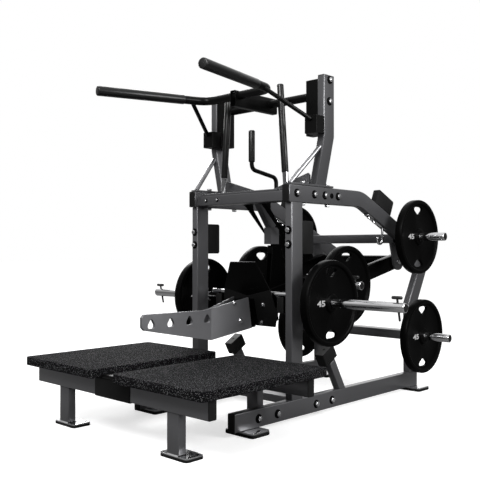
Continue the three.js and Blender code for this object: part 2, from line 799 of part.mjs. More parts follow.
function plateSolid() {
  const side = plateThick / 2;
  const web = plateWebThick / 2;
  const bore = hornDia / 2 + slideGap;
  const hub = plateHubDia / 2;
  const inRim = plateDia / 2 - plateRim;
  const disc = turned([[bore, -side], [hub, -side], [hub, -web], [inRim, -web], [inRim, -side],
    [plateDia / 2, -side], [plateDia / 2, side], [inRim, side], [inRim, web], [hub, web], [hub, side],
    [bore, side], [bore, -side]], 1, 0, 0, 28);
  return cut(disc, ...[1, -1].map((way) => extrude('x', [-plateThick, plateThick],
    fromShares(gripHoleShares, 0, way * plateGripAt, plateGripWide, plateGripTall, way))));
}
const plateGeometry = plateSolid();

// A plate hangs with its grip holes at the top and the bottom, also on the tilted arm.
function addPlate(name, side, face, y, z, group = machine) {
  const mesh = add(name, plateGeometry, urethane, group);
  mesh.position.set(side * (face - plateThick / 2), y, z);
  mesh.rotation.x = -group.rotation.x;
}

for (const [name, side] of sides) {
  addPlate(`${name}_upper_storage_plate`, side, storePlateFace, upperStoreY, upperStoreZ);
  addPlate(`${name}_lower_storage_plate`, side, storePlateFace, lowerStoreY, lowerStoreZ);
}

// Shaft that the arm turns on
const pivotEnd = pivotPlateFrom + pivotPlateThick + pivotShaftProud;
add('pivot_shaft', extrude('x', [-pivotEnd, pivotEnd], ring(pivotY, pivotZ, pivotShaftDia / 2, 20)), zinc);

// Arm, in its own frame: y runs back along the rails to the pivot, z is square to them

arm.position.set(0, pivotY, pivotZ);
arm.rotation.x = armTilt;
machine.add(arm);

// A point of the machine's own Y and Z, in the arm's frame.
function inArm([y, z]) {
  const dy = y - pivotY;
  const dz = z - pivotZ;
  return [dy * Math.cos(armTilt) + dz * Math.sin(armTilt), dz * Math.cos(armTilt) - dy * Math.sin(armTilt)];
}

function toArm(geometry) {
  geometry.translate(0, -pivotY, -pivotZ);
  geometry.rotateX(-armTilt);
  return geometry;
}

const yokeY = [-frontHornAt - tubeTall / 2, -frontHornAt + tubeTall / 2];
const shaftHole = extrude('x', [-farOut, farOut], ring(0, 0, holeFor(pivotShaftDia, 20) / 2, 20));
const barHole = (y) => extrude('x', [-farOut, farOut], ring(y, 0, holeFor(hornDia, 16) / 2, 16));
const armRails = sides.map(([, side]) => tube('y', [yokeY[1] + fitGap, 0],
  span(side, railInner, railOuter), [-half, half]));
const pivotTube = extrude('x', [-railOuter, railOuter], ring(0, 0, pivotTubeDia / 2, 20));
add('arm_rails', cut(join(pivotTube, ...armRails), shaftHole, barHole(-rearHornAt)), blackPaint, arm);
const crossReach = railInner - fitGap;
add('arm_cross_tube', tube('x', [-crossReach, crossReach], [-rearHornAt - half, half - rearHornAt],
  [-half, half]), blackPaint, arm);

// The yoke: a tube across the front of the rails, the boom and the hood over it
const yokeTube = extrude('x', [-yokeHalf, yokeHalf], roundedRect(yokeY, [-half, half], tubeCorner, 2));
const yokeBore = half - tubeWall;
const yokeCore = extrude('x', [tubeWall - yokeHalf, yokeHalf - tubeWall], roundedRect(
  [yokeY[0] + tubeWall, yokeY[1] - tubeWall], [-yokeBore, yokeBore], tubeCorner - tubeWall, 1));
const boom = block([-boomHalf, boomHalf], [-boomFront, yokeY[0] + tubeWall], [boomBottom, boomTop]);
const boomCore = block([tubeWall - boomHalf, boomHalf - tubeWall],
  [-boomFront - cutOver, yokeY[0] - tubeWall], [boomBottom + tubeWall, boomTop - tubeWall]);
function hoodOutline(inset, overrun) {
  const right = [[hoodFootHalf - inset, hoodFootZ - overrun],
    [hoodWaistHalf - inset, hoodWaistZ - inset / 2], [hoodTopHalf - inset / 2, hoodTopZ - inset]];
  return outlineOf([...right, ...right.map(([x, z]) => [-x, z]).reverse()]);
}
const hood = toArm(extrude('y', [hoodFrontY, hoodRearY], hoodOutline(0, 0)));
const hoodCore = toArm(extrude('y', [hoodFrontY + hoodPlate, hoodRearY + cutOver],
  hoodOutline(hoodPlate, cutOver)));
const yokePlates = sides.flatMap(([, side]) => [
  extrude('x', span(side, cheekHalf - cheekThick, cheekHalf), outlineOf(cheekPoints)),
  extrude('x', span(side, webInner, webInner + webThick), outlineOf(webPoints)),
  block(span(side, railInner - tubeWide, railInner), [stubFrontY, yokeJoinY], stubZ)].map(toArm));
const carryZ = stubZ[1] + carryDia / 2 - weldIn;
const carryBar = toArm(rod([-yokeHalf, carryY, carryZ], [yokeHalf, carryY, carryZ], carryDia, 14));
const notchHalf = boomHalf + beltThick + 2 * beltClear;
const hoodNotch = toArm(block([-notchHalf, notchHalf], [hoodFrontY - cutOver, beltRearY + beltClear],
  [hoodFootZ - cutOver, beltTopRear + beltClear]));
add('arm_yoke', cut(join(cut(yokeTube, yokeCore), cut(hood, hoodCore, hoodNotch), boom,
  carryBar, ...yokePlates), boomCore, barHole(-frontHornAt)), blackPaint, arm);

// The spine between yoke and cross tube, and the tower whose nose the catch holds
const spineTube = tube('y', [yokeY[1] + fitGap, -rearHornAt - half - fitGap], [-spineHalf, spineHalf],
  [-half, half]);
const towerFoot = half - tubeWall / 2;
const noseRear = [towerRearY, noseTop];
const tower = extrude('x', [-towerHalf, towerHalf], outlineOf([
  [-towerFootFront, towerFoot], [-towerFootRear, towerFoot], inArm([towerRearY, towerRearZ]),
  inArm(noseRear), inArm([noseFront, noseTop]), inArm([noseFront, noseBottom]),
  inArm([towerNeckY, noseBottom]), inArm([towerNeckY, towerShoulderZ]),
  inArm([noseFront, towerShoulderZ])]));
const slotHalf = towerHalf - towerPlate;
const towerSlot = block([-slotHalf, slotHalf], [-towerFootFront - cutOver, -towerFootRear + half],
  [half, inArm([noseFront, towerShoulderZ])[1] - half]);
add('arm_spine', join(spineTube, cut(tower, towerSlot)), blackPaint, arm);

// Horn bars across the arm, with their plates and pins
const pinTop = hornDia / 2 + pinHeadAbove + pinHandleDia / 2;
for (const [place, y, end, face] of [['front', -frontHornAt, hornReach, frontPlateFace],
  ['rear', -rearHornAt, rearHornEnd, rearPlateFace]]) {
  const section = hornSection(-weldIn, end, face, railOuter);
  const bar = join(...sides.map(([, side]) => turned(section, side, y, 0, 16)));
  add(`${place}_horn_bar`, cut(bar, ...sides.map(([, side]) => rod([side * (end - pinFromEnd), y, -hornDia],
    [side * (end - pinFromEnd), y, hornDia], holeFor(pinDia, 12), 12))), chrome, arm);
  for (const [name, side] of sides) {
    const x = side * (end - pinFromEnd);
    addPlate(`${name}_${place}_arm_plate`, side, face, y, 0, arm);
    add(`${name}_${place}_horn_pin`, join(rod([x, y, pinTop], [x, y, pinTop - pinLong], pinDia, 10),
      rod([x - pinHandleLong / 2, y, pinTop], [x + pinHandleLong / 2, y, pinTop], pinHandleDia, 10)),
    chrome, arm);
  }
}

// Belt plates: a mirrored pair that closes in on the middle towards the tip

function beltPlate(side) {
  const near = beltPairGap / 2;
  const out = boomHalf + fitGap;
  const r = beltTipRound;
  const profile = outlineOf([
    [beltTipY + r, beltTipBottom], [beltStepFront, beltBottomMid], [beltStepRear, beltBottomLow],
    [beltRearY, beltBottomRear], [beltRearY, beltTopRear], [beltTopBreak, beltTopFlat],
    [beltTipY + r, beltTipTop], [beltTipY, beltTipTop - r], [beltTipY, beltTipBottom + r]]);
  const plan = outlineOf([
    [side * near, beltTipY - cutOver], [side * (near + beltThick), beltTipY - cutOver],
    [side * (near + beltThick), beltStepFront], [side * (out + beltThick), beltStepRear],
    [side * (out + beltThick), beltRearY + cutOver], [side * out, beltRearY + cutOver],
    [side * out, beltStepRear], [side * near, beltStepFront]]);
  const wide = [-out - 2 * beltThick, out + 2 * beltThick];
  const band = extrude('z', [beltBottomLow - cutOver, beltTopRear + cutOver], plan);
  let plate = solidOf(band).intersect(solidOf(extrude('x', wide, profile)));
  for (let i = 0; i < beltHoles; i += 1) {
    plate = plate.subtract(solidOf(extrude('x', wide, fromShares(beltHoleShares,
      beltHoleFirstY + i * beltHolePitch, beltHoleZ, beltHoleWide, beltHoleTall))));
  }
  return toArm(geometryOf(plate));
}
for (const [name, side] of sides) add(`${name}_belt_plate`, beltPlate(side), greyPaint, arm);

// Start lever: rod, grip, turning tube and the catch that hangs from it

const leverBore = rod([-farOut, leverY, leverZ], [farOut, leverY, leverZ], holeFor(leverBoltDia, 14), 14);
const gripEnd = leverGripTo - leverGripDia / 2;
add('start_lever', cut(join(
  bentRod([[0, leverGripY, gripEnd], [0, leverGripY, leverGripFrom - leverGripTail],
    [0, leverY + leverCrank, leverGripFrom - leverDip], [0, leverY + leverCrank, leverZ + leverBendRise],
    [0, leverY, leverZ]], leverBend, leverRodDia, 28, 8),
  rod([-leverTubeHalf, leverY, leverZ], [leverTubeHalf, leverY, leverZ], leverTubeDia, 14)), leverBore),
blackPaint);
add('lever_grip', cut(
  rod([0, leverGripY, leverGripFrom], [0, leverGripY, leverGripTo], leverGripDia, 14),
  rod([0, leverGripY, leverGripFrom - cutOver], [0, leverGripY, gripEnd + fitGap],
    holeFor(leverRodDia, 14), 14)), rubber);

// The catch: a tube down to an open box whose toe bar goes under the tower's nose
const boxMidY = (catchBoxFront + catchBoxRear) / 2;
const linkWay = new THREE.Vector2(boxMidY - leverY, catchBoxTop - leverZ);
const linkLong = linkWay.length();
linkWay.normalize();
const onLink = (along, off) => [leverY + along * linkWay.x - off * linkWay.y,
  leverZ + along * linkWay.y + off * linkWay.x];
const linkHalf = catchTubeDeep / 2;
const link = cut(extrude('x', [-catchTubeWide / 2, catchTubeWide / 2], outlineOf([
  onLink(0, -linkHalf), onLink(linkLong, -linkHalf), onLink(linkLong, linkHalf), onLink(0, linkHalf)])),
rod([-farOut, leverY, leverZ], [farOut, leverY, leverZ], holeFor(leverTubeDia, 14), 14),
rod([0, leverY, leverZ], [0, leverY + leverCrank, leverZ + leverBendRise], holeFor(leverRodDia, 14), 14));
const inBox = catchBoxHalf - catchWall;
const box = block([-catchBoxHalf, catchBoxHalf], [catchBoxFront, catchBoxRear],
  [catchBoxBottom, catchBoxTop]);
const boxCore = block([-inBox, inBox], [catchBoxFront + catchWall, catchBoxRear + cutOver],
  [catchBoxBottom - linkLong, catchBoxTop - catchWall]);
const toeY = noseFront - toeClear - toeDia / 2;
const toe = rod([-inBox - catchWall / 2, toeY, toeZ], [inBox + catchWall / 2, toeY, toeZ], toeDia, 10);
add('catch_box', join(cut(join(link, box), boxCore), toe), greyPaint);

// Platform: two decks on split beams, so that the arm can come down between them

const beamMid = beamTop - weldIn;
const frontBeamY = [beamFrontY, beamFrontY + tubeWide];
const rearBeamY = [beamRearY, beamRearY + tubeWide];
const sleeveY = [frontBeamY[0] - joinerWall, frontBeamY[1] + joinerWall];
const sleeveBoreY = [frontBeamY[0] + weldIn, frontBeamY[1] - weldIn];
const sleeve = extrude('x', [-joinerHalf, joinerHalf],
  roundedRect(sleeveY, [beamBottom - joinerWall, beamTop], tubeCorner, 2),
  roundedRect(sleeveBoreY, [beamBottom + weldIn, beamMid], tubeCorner - weldIn, 2));
const frontLegs = sides.flatMap(([, side]) => {
  const x = side * legX;
  return [
    tube('z', [padThick - weldIn, beamBottom + weldIn], [x - legWide / 2, x + legWide / 2],
      [legY - legDeep / 2, legY + legDeep / 2]),
    extrude('z', [0, padThick], roundedRect([x - padWide / 2, x + padWide / 2],
      [padY - padLong / 2, padY + padLong / 2], padCorner))];
});
add('front_platform_beam', join(tube('x', [-beamEnd, beamEnd], frontBeamY, [beamBottom, beamTop]), sleeve,
  ...frontLegs), greyPaint);
const legPlateY = (railBoltYs[0] + railBoltYs[1]) / 2;
const legPlateIn = frameInner - fitGap - legPlateThick;
const legPlateZ = railBottom + tubeCorner;
for (const [name, side] of sides) {
  const legEnd = legPlateIn + weldIn;
  add(`${name}_deck`, extrude('z', [deckBottom, deckTop], roundedRect(
    span(side, deckInner, deckHalf), [deckFront, deckRear], deckCorner, 4)), speckled);
  add(`${name}_rear_platform_beam`, join(
    tube('x', span(side, deckInner + beamClear, beamEnd), rearBeamY, [beamBottom, beamTop]),
    tube('z', [railBottom, beamBottom + weldIn], span(side, legEnd - legWide, legEnd), rearBeamY),
    block(span(side, legPlateIn, legPlateIn + legPlateThick),
      [legPlateY - legPlateLong / 2, legPlateY + legPlateLong / 2],
      [legPlateZ, legPlateZ + legPlateTall])), greyPaint);
}

// The middle of the length goes to Y = 0.
const [rearEnd] = onSlope(slopeRun, tubeTall);
machine.position.y = -(deckFront + rearEnd) / 2;

export default machine;
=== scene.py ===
# Belt squat machine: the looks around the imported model.
# Sizes in the dictionaries are millimetres, set out from the front face of the front uprights.
# place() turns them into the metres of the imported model.
from math import atan2, cos, hypot, pi, radians, sin, tan
import bmesh
import bpy
import numpy as np
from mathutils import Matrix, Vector


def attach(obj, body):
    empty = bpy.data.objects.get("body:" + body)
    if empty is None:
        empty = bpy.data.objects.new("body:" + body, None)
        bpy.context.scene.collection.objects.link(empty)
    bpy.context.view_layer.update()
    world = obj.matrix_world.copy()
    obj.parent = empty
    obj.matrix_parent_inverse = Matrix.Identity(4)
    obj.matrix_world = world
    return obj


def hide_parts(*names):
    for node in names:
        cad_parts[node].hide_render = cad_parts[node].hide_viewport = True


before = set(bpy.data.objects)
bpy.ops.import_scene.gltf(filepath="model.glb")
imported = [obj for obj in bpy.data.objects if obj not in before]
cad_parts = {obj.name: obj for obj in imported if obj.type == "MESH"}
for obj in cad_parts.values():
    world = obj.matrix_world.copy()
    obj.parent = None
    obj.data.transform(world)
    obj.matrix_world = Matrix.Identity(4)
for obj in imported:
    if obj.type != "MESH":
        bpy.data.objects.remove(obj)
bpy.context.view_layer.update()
sideSigns = {"left": -1, "right": 1}

# From set-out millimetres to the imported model's metres
layout = {"backShift": 264.44, "pivotY": 1130, "pivotZ": 808, "hornY": 192, "hornZ": 605, "gap": 0.3}
armTilt = atan2(layout["pivotZ"] - layout["hornZ"], layout["pivotY"] - layout["hornY"])
hornRun = hypot(layout["pivotZ"] - layout["hornZ"], layout["pivotY"] - layout["hornY"])
gap = layout["gap"]  # parts a piece from the one it stands on


# x, y, z in millimetres, moved back by the shift and scaled to metres
def place(points):
    return (np.asarray(points, float) - [0, layout["backShift"], 0]) / 1000


# Y and z of a point along and up from a start, both turned by the angle about x
def leaning(angle, y, z, along, up):
    return y + along * cos(angle) - up * sin(angle), z + along * sin(angle) + up * cos(angle)


# The arm's own x, y, z turned by the tilt about x and carried to the pivot
def onArm(points):
    x, y, z = np.moveaxis(np.asarray(points, float), -1, 0)
    return np.stack([x, *leaning(armTilt, layout["pivotY"], layout["pivotZ"], y, z)], -1)


# Two distances from the middle as a span from low to high, mirrored on the left
def spanOf(sign, near, far):
    return (near, far) if sign > 0 else (-far, -near)


# A point of the right half on the side that the sign tells
def onSide(sign, point):
    return np.array(point, float) * [sign, 1, 1]


# A shell is an array of points and a list of blocks of faces, each block an array of point numbers.

# Quads between neighbouring rows of a grid whose columns close on themselves
def loopQuads(rows, cols):
    row = np.arange(rows - 1)[:, None] * cols
    col = np.arange(cols)[None, :]
    nextCol = (col + 1) % cols
    return np.stack([row + col, row + nextCol, row + nextCol + cols, row + col + cols], -1).reshape(-1, 4)


# A grid of points, one closed loop to a row, with its first and last loops filled
def loft(points):
    rows, cols = points.shape[:2]
    first = np.arange(cols)[None, ::-1]
    last = np.arange((rows - 1) * cols, rows * cols)[None]
    return points.reshape(-1, 3), [loopQuads(rows, cols), first, last]


# A grid of loops that closes on itself, with its last row joined to its first
def ringLoft(points):
    rows, cols = points.shape[:2]
    return points.reshape(-1, 3), [loopQuads(rows + 1, cols) % (rows * cols)]


# The same outline, run anticlockwise, as the sign of its area tells
def facing(outline):
    outline = np.asarray(outline, float)
    ahead = np.roll(outline, -1, 0)
    area = np.sum(outline[:, 0] * ahead[:, 1] - ahead[:, 0] * outline[:, 1])
    return outline if area > 0 else outline[::-1]


# Vectors brought to a length of one
def unit(ways):
    return ways / np.linalg.norm(ways, axis=-1, keepdims=True)


# Each corner moved inwards along its mitre, so that every edge moves by the same amount
def inset(outline, by):
    ahead = unit(np.roll(outline, -1, 0) - outline)
    back = unit(outline - np.roll(outline, 1, 0))
    normal = np.stack([ahead[:, 1] + back[:, 1], -ahead[:, 0] - back[:, 0]], 1)
    return outline - by * 2 * normal / np.sum(normal * normal, 1)[:, None]


# A curve from start to end that the corner pulls on, weighted (1 - t) squared, 2t(1 - t) and t squared
def pulledCurve(start, corner, end, t):
    return (1 - t) ** 2 * start + 2 * t * (1 - t) * corner + t * t * end


# Each corner replaced by a curve that starts and ends the radius away from it
def rounded(outline, radius, steps=4):
    outline = facing(outline)
    ends = []
    for step in (1, -1):
        way = np.roll(outline, step, 0) - outline
        ends.append(outline + way * np.minimum(radius / np.linalg.norm(way, axis=1), 0.49)[:, None])
    t = np.linspace(0, 1, steps + 1)[None, :, None]
    return pulledCurve(ends[0][:, None], outline[:, None], ends[1][:, None], t).reshape(-1, 2)


# A rectangle over two spans, with its corners rounded where a corner radius is given
def rect(u, v, corner=0.0, steps=4):
    outline = np.array([[u[0], v[0]], [u[1], v[0]], [u[1], v[1]], [u[0], v[1]]], float)
    return rounded(outline, corner, steps) if corner else outline


# Cosines and sines of equal steps round a full turn
def wheel(count):
    angle = np.arange(count) * 2 * pi / count
    return np.cos(angle), np.sin(angle)


# How far an edge is still drawn in, and how far it has come along, over a quarter circle
def quarterRound(edge, steps):
    t = np.linspace(0, pi / 2, steps + 1)
    return edge * (1 - np.sin(t)), edge * (1 - np.cos(t))


# Where u, v and the depth go when the depth lies along an axis
turns = {"x": [2, 0, 1], "y": [0, 2, 1], "z": [0, 1, 2]}


# Loops in u and v set at their depths, and the depth turned to lie along the axis
def standing(loops, depths, axis):
    depth = np.broadcast_to(np.asarray(depths, float)[:, None, None], loops.shape[:2] + (1,))
    return np.concatenate([loops, depth], -1)[..., turns[axis]]


# An outline carried from low to high, drawn in along a quarter circle at both ends
def slab(outline, low, high, edge=1.0, steps=3, axis="z"):
    outline = facing(outline)
    drawn, rise = quarterRound(edge, steps)
    levels = np.concatenate([low + rise, (high - rise)[::-1]])
    loops = np.stack([inset(outline, by) for by in np.concatenate([drawn, drawn[::-1]])])
    return loft(standing(loops, levels, axis))


# A plate over three spans with small rounded edges
def block(x, y, z, edge=1.5):
    corner = min(edge, 0.3 * min(x[1] - x[0], y[1] - y[0]))
    return slab(rect(x, y, corner, 3), z[0], z[1], corner)


tubing = {"corner": 6, "endEdge": 0.8, "cutEdge": 5.5, "capTall": 4, "capEdge": 1.6}


# A rounded rectangle carried along one axis
def tubeBar(axis, along, u, v):
    return slab(rect(u, v, tubing["corner"], 5), *along, tubing["endEdge"], 2, axis)


# A tube cut to an outline of its side face, with its long edges rounded
def cutTube(outline, span, axis="x"):
    return slab(outline, *span, tubing["cutEdge"], 5, axis)


# An outline in y and z with rounded corners, carried across x with its edges rounded as much
def softSlab(outline, middle, wide, edge):
    return slab(rounded(outline, edge), middle - wide / 2, middle + wide / 2, edge, 3, "x")


# A thin plate between two depths in x
def thinPlate(outline, span, edge=1.2):
    return slab(outline, *span, edge, 3, "x")


# A moulded cap on a tube's end, with a shallow crown
def endCap(axis, at, way, u, v):
    near, far = sorted((at, at + way * tubing["capTall"]))
    return slab(rect(u, v, tubing["corner"], 5), near, far, tubing["capEdge"], 3, axis)


# An outline and a smaller one inside it, both carried from near to far and joined at the ends
def openTube(u, v, near, far, wall, corner, axis):
    outer = facing(rect(u, v, corner))
    inner = inset(outer, wall)
    return ringLoft(standing(np.stack([outer, outer, inner, inner]), [near, far, far, near], axis))


# Two unit vectors square to the way and to each other, by cross products, and the way itself
def crossAxes(way):
    way = unit(np.asarray(way, float))
    first = unit(np.cross([0, 0, 1] if abs(way[2]) < 0.9 else [0, 1, 0], way))
    return first, np.cross(way, first), way


# A profile of radius and height, turned about the way through the centre
def turned(profile, centre, way, count=48, closed=False):
    profile = np.asarray(profile, float)
    first, second, third = crossAxes(way)
    across, up = wheel(count)
    circle = across[:, None] * first + up[:, None] * second
    points = (np.asarray(centre, float) + profile[:, 0, None, None] * circle[None]
              + profile[:, 1, None, None] * third)
    return ringLoft(points) if closed else loft(points)


# Straight runs joined by curves that start and end the bend's length from each corner
def bentPath(corners, bend):
    corners = np.asarray(corners, float)
    if len(corners) == 2:
        return corners, unit(np.stack([corners[1] - corners[0]] * 2))
    corner = corners[1:-1]
    before = corner + bend * unit(corners[:-2] - corner)
    after = corner + bend * unit(corners[2:] - corner)
    t = np.linspace(0, 1, 11)[None, :, None]
    curve = pulledCurve(before[:, None], corner[:, None], after[:, None], t)
    heading = (1 - t) * (corner - before)[:, None] + t * (after - corner)[:, None]
    path = np.concatenate([corners[:1], curve.reshape(-1, 3), corners[-1:]])
    ways = np.concatenate([before[:1] - corners[:1], heading.reshape(-1, 3), corners[-1:] - after[-1:]])
    return path, unit(ways)


# A circle carried along a path, drawn in along a quarter circle at both ends
def roundBar(corners, dia, bend=0.0, edge=1.5, count=28, plane=None):
    path, ways = bentPath(corners, bend)
    plane = crossAxes(ways[0])[0] if plane is None else np.asarray(plane, float)
    drawn, back = quarterRound(edge, 4)
    ends, back = dia / 2 - drawn, back[:, None]
    radii = np.concatenate([ends, np.full(len(path) - 2, dia / 2), ends[::-1]])
    spine = np.concatenate([path[0] + back * ways[0], path[1:-1], (path[-1] - back * ways[-1])[::-1]])
    heading = np.concatenate([np.repeat(ways[:1], 5, 0), ways[1:-1], np.repeat(ways[-1:], 5, 0)])
    inPlane = unit(np.cross(heading, plane))
    across, up = wheel(count)
    circle = across[None, :, None] * plane + up[None, :, None] * inPlane[:, None]
    return loft(spine[:, None] + radii[:, None, None] * circle)


# A shell drawn in the arm's own axes, carried onto the arm
def tilted(shell):
    return onArm(shell[0]), shell[1]


# Shells as one, each one's point numbers raised by the points before it
def together(shells):
    starts = np.cumsum([0] + [len(points) for points, _ in shells])
    faces = [faceBlock + start for (_, blocks), start in zip(shells, starts) for faceBlock in blocks]
    return np.concatenate([points for points, _ in shells]), faces


# A mesh from points in metres and blocks of faces, its faces turned outwards
def meshOf(name, points, blocks):
    mesh = bpy.data.meshes.new(name)
    mesh.from_pydata(points, [], [face for faceBlock in blocks for face in faceBlock.tolist()])
    shape = bmesh.new()
    shape.from_mesh(mesh)
    bmesh.ops.recalc_face_normals(shape, faces=shape.faces)
    shape.to_mesh(mesh)
    shape.free()
    return mesh


# The corners of a mesh as rows of x, y, z
def cornersOf(mesh):
    points = np.zeros(len(mesh.vertices) * 3)
    mesh.vertices.foreach_get("co", points)
    return points.reshape(-1, 3)


# An object at the origin that shows the data
def shown(name, data):
    made = bpy.data.objects.new(name, data)
    bpy.context.scene.collection.objects.link(made)
    return made


# The shown mesh with its look, its body and the nodes that it stands for
def dress(name, mesh, look, body, stands, sharpFrom):
    mesh.materials.append(looks[look][0])
    mesh.polygons.foreach_set("use_smooth", np.ones(len(mesh.polygons), bool))
    mesh.set_sharp_from_angle(angle=radians(sharpFrom))
    made = shown(name, mesh)
    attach(made, body)
    if stands:
        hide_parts(*stands)
    return made


# Degrees past which an edge stays sharp, metres within which corners merge, degrees that count as flat
edges = {"piece": 38, "node": 32, "plate": 30, "merge": 0.00002, "flat": 1.0}


# A mesh of closed shells that rides on a body and stands for the nodes named
def piece(name, shells, look, stands=(), body="frame"):
    points, faces = together(shells)
    dress(name, meshOf(name, place(points), faces), look, body, stands, edges["piece"])


# A copy of a node, merged, with its corners carried sideways where asked and its sharp edges rounded
def refined(node, look, body="frame", carry=None, edge=1.2):
    shape = bmesh.new()
    shape.from_mesh(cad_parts[node].data)
    bmesh.ops.remove_doubles(shape, verts=shape.verts, dist=edges["merge"])
    mesh = bpy.data.meshes.new(node)
    if carry:
        shape.to_mesh(mesh)
        points = cornersOf(mesh) * 1000 + [0, layout["backShift"], 0]
        mesh.vertices.foreach_set("co", place(carry(points)).ravel())
        shape.clear()
        shape.from_mesh(mesh)
    bmesh.ops.dissolve_limit(shape, angle_limit=radians(edges["flat"]), verts=shape.verts, edges=shape.edges)
    shape.to_mesh(mesh)
    shape.free()
    made = dress(node + "_dressed", mesh, look, body, [node], edges["node"])
    rounding = made.modifiers.new("rounding", "BEVEL")
    rounding.width = edge / 1000
    rounding.segments = 2
    rounding.limit_method = "ANGLE"
    rounding.angle_limit = radians(edges["node"])
    rounding.use_clamp_overlap = True
    rounding.harden_normals = True


# Materials: a grey as red, green, blue and one, with its own blue where it is cooler
def grey(level, blue=None):
    return level, level, level if blue is None else blue, 1


# Plain values put on a node's sockets by name or number
def setSockets(node, values):
    for label, value in values.items():
        node.inputs[label].default_value = value


# A node of one kind, its settings made first and then its plain sockets
def addNode(tree, kind, values=None, **settings):
    node = tree.nodes.new("ShaderNode" + kind)
    for label, value in settings.items():
        setattr(node, label, value)
    setSockets(node, values or {})
    return node


# Links, each given as a node, its output, the next node and its input
def wire(tree, *links):
    for source, output, target, socket in links:
        tree.links.new(source.outputs[output], target.inputs[socket])


# The links that give a shader its tone, its roughness and the relief of its surface
def wireShader(tree, shader, tone, matte, relief, height):
    wire(tree, (tone, "Result", shader, "Base Color"), (matte, "Result", shader, "Roughness"),
         (*height, relief, "Height"), (relief, "Normal", shader, "Normal"))


# A material with its node tree and its shader, whose plain sockets are set
def newMaterial(name, values):
    made = bpy.data.materials.new(name)
    made.use_nodes = True
    shader = made.node_tree.nodes["Principled BSDF"]
    setSockets(shader, values)
    return made, made.node_tree, shader


mottleScales = {"Cloud": 4.0, "Grain": 900.0, "Scuff": 60.0}


# Broad cloud of tone, fine grain and small scuffs, all from noise on the object's own place
def makeMottle():
    tree = bpy.data.node_groups.new("mottle", "ShaderNodeTree")
    tree.interface.new_socket(name="Vector", in_out="INPUT", socket_type="NodeSocketVector")
    noises = {"Cloud": {"Detail": 4.0}, "Grain": {"Detail": 2.0},
              "Scuff": {"Detail": 6.0, "Roughness": 0.7, "Distortion": 1.4}}
    for label in noises:
        scale = tree.interface.new_socket(name=label + " Scale", in_out="INPUT",
                                          socket_type="NodeSocketFloat")
        scale.default_value = mottleScales[label]
        tree.interface.new_socket(name=label, in_out="OUTPUT", socket_type="NodeSocketFloat")
    given = tree.nodes.new("NodeGroupInput")
    out = tree.nodes.new("NodeGroupOutput")
    pick = addNode(tree, "MapRange", {"From Min": 0.62, "From Max": 0.74})
    for label, values in noises.items():
        noise = addNode(tree, "TexNoise", values)
        wire(tree, (given, "Vector", noise, "Vector"), (given, label + " Scale", noise, "Scale"))
        if label == "Scuff":
            wire(tree, (noise, "Fac", pick, "Value"), (pick, "Result", out, label))
        else:
            wire(tree, (noise, "Fac", out, label))
    return tree


mottle = makeMottle()


# A tone and a roughness that drift with the cloud, scuffs mixed in by their share, and a fine relief
def finish(name, base, scuffed, rough, roughSpread, metallic=0.0, coat=0.0, specular=0.5, cloud=0.2,
           scuff=0.15, grain=mottleScales["Grain"], bump=0.02, bumpDistance=0.0004):
    made, tree, shader = newMaterial(name, {"Metallic": metallic, "Coat Weight": coat,
                                            "Coat Roughness": 0.15, "Specular IOR Level": specular})
    where = addNode(tree, "TexCoord")
    tone = addNode(tree, "Group", {"Cloud Scale": mottleScales["Cloud"], "Grain Scale": grain,
                                   "Scuff Scale": mottleScales["Scuff"]}, node_tree=mottle)
    drift = addNode(tree, "MapRange", {"To Min": 1 - cloud, "To Max": 1 + cloud})
    shade = addNode(tree, "Mix", {"Factor": 1.0, "A": base}, data_type="RGBA", blend_type="MULTIPLY")
    worn = addNode(tree, "Mix", {"B": scuffed}, data_type="RGBA")
    share = addNode(tree, "Math", {1: scuff}, operation="MULTIPLY")
    matte = addNode(tree, "MapRange", {"To Min": rough - roughSpread, "To Max": rough + roughSpread})
    relief = addNode(tree, "Bump", {"Strength": bump, "Distance": bumpDistance})
    wire(tree, (where, "Object", tone, "Vector"), (tone, "Cloud", drift, "Value"),
         (drift, "Result", shade, "B"), (tone, "Scuff", share, 0), (share, 0, worn, "Factor"),
         (shade, "Result", worn, "A"), (tone, "Cloud", matte, "Value"))
    wireShader(tree, shader, worn, matte, relief, (tone, "Grain"))
    return made


# Pressed rubber crumb: small cells, a few of them grey, with the joints between them lower
def crumbRubber(name):
    crumb = {"cell": 300.0, "black": grey(0.0035, 0.004), "grey": grey(0.17, 0.175), "greyFrom": 0.70,
             "greyTo": 0.70 + 0.12, "coreFrom": 0.55, "coreTo": 0.25, "smooth": 0.7, "rough": 0.95,
             "specular": 0.03, "relief": 0.9, "deep": 0.0016}
    made, tree, shader = newMaterial(name, {"Specular IOR Level": crumb["specular"]})
    where = addNode(tree, "TexCoord")
    cells = addNode(tree, "TexVoronoi", {"Scale": crumb["cell"]})
    parts = addNode(tree, "SeparateColor")
    fleck = addNode(tree, "MapRange", {"From Min": crumb["greyFrom"], "From Max": crumb["greyTo"]})
    core = addNode(tree, "MapRange", {"From Min": crumb["coreFrom"], "From Max": crumb["coreTo"]})
    seen = addNode(tree, "Math", operation="MULTIPLY")
    colour = addNode(tree, "Mix", {"A": crumb["black"], "B": crumb["grey"]}, data_type="RGBA")
    matte = addNode(tree, "MapRange", {"To Min": crumb["smooth"], "To Max": crumb["rough"]})
    relief = addNode(tree, "Bump", {"Strength": crumb["relief"], "Distance": crumb["deep"]}, invert=True)
    wire(tree, (where, "Object", cells, "Vector"), (cells, "Color", parts, "Color"),
         (parts, "Red", fleck, "Value"), (cells, "Distance", core, "Value"), (fleck, "Result", seen, 0),
         (core, "Result", seen, 1), (seen, 0, colour, "Factor"), (parts, "Green", matte, "Value"))
    wireShader(tree, shader, colour, matte, relief, (cells, "Distance"))
    return made


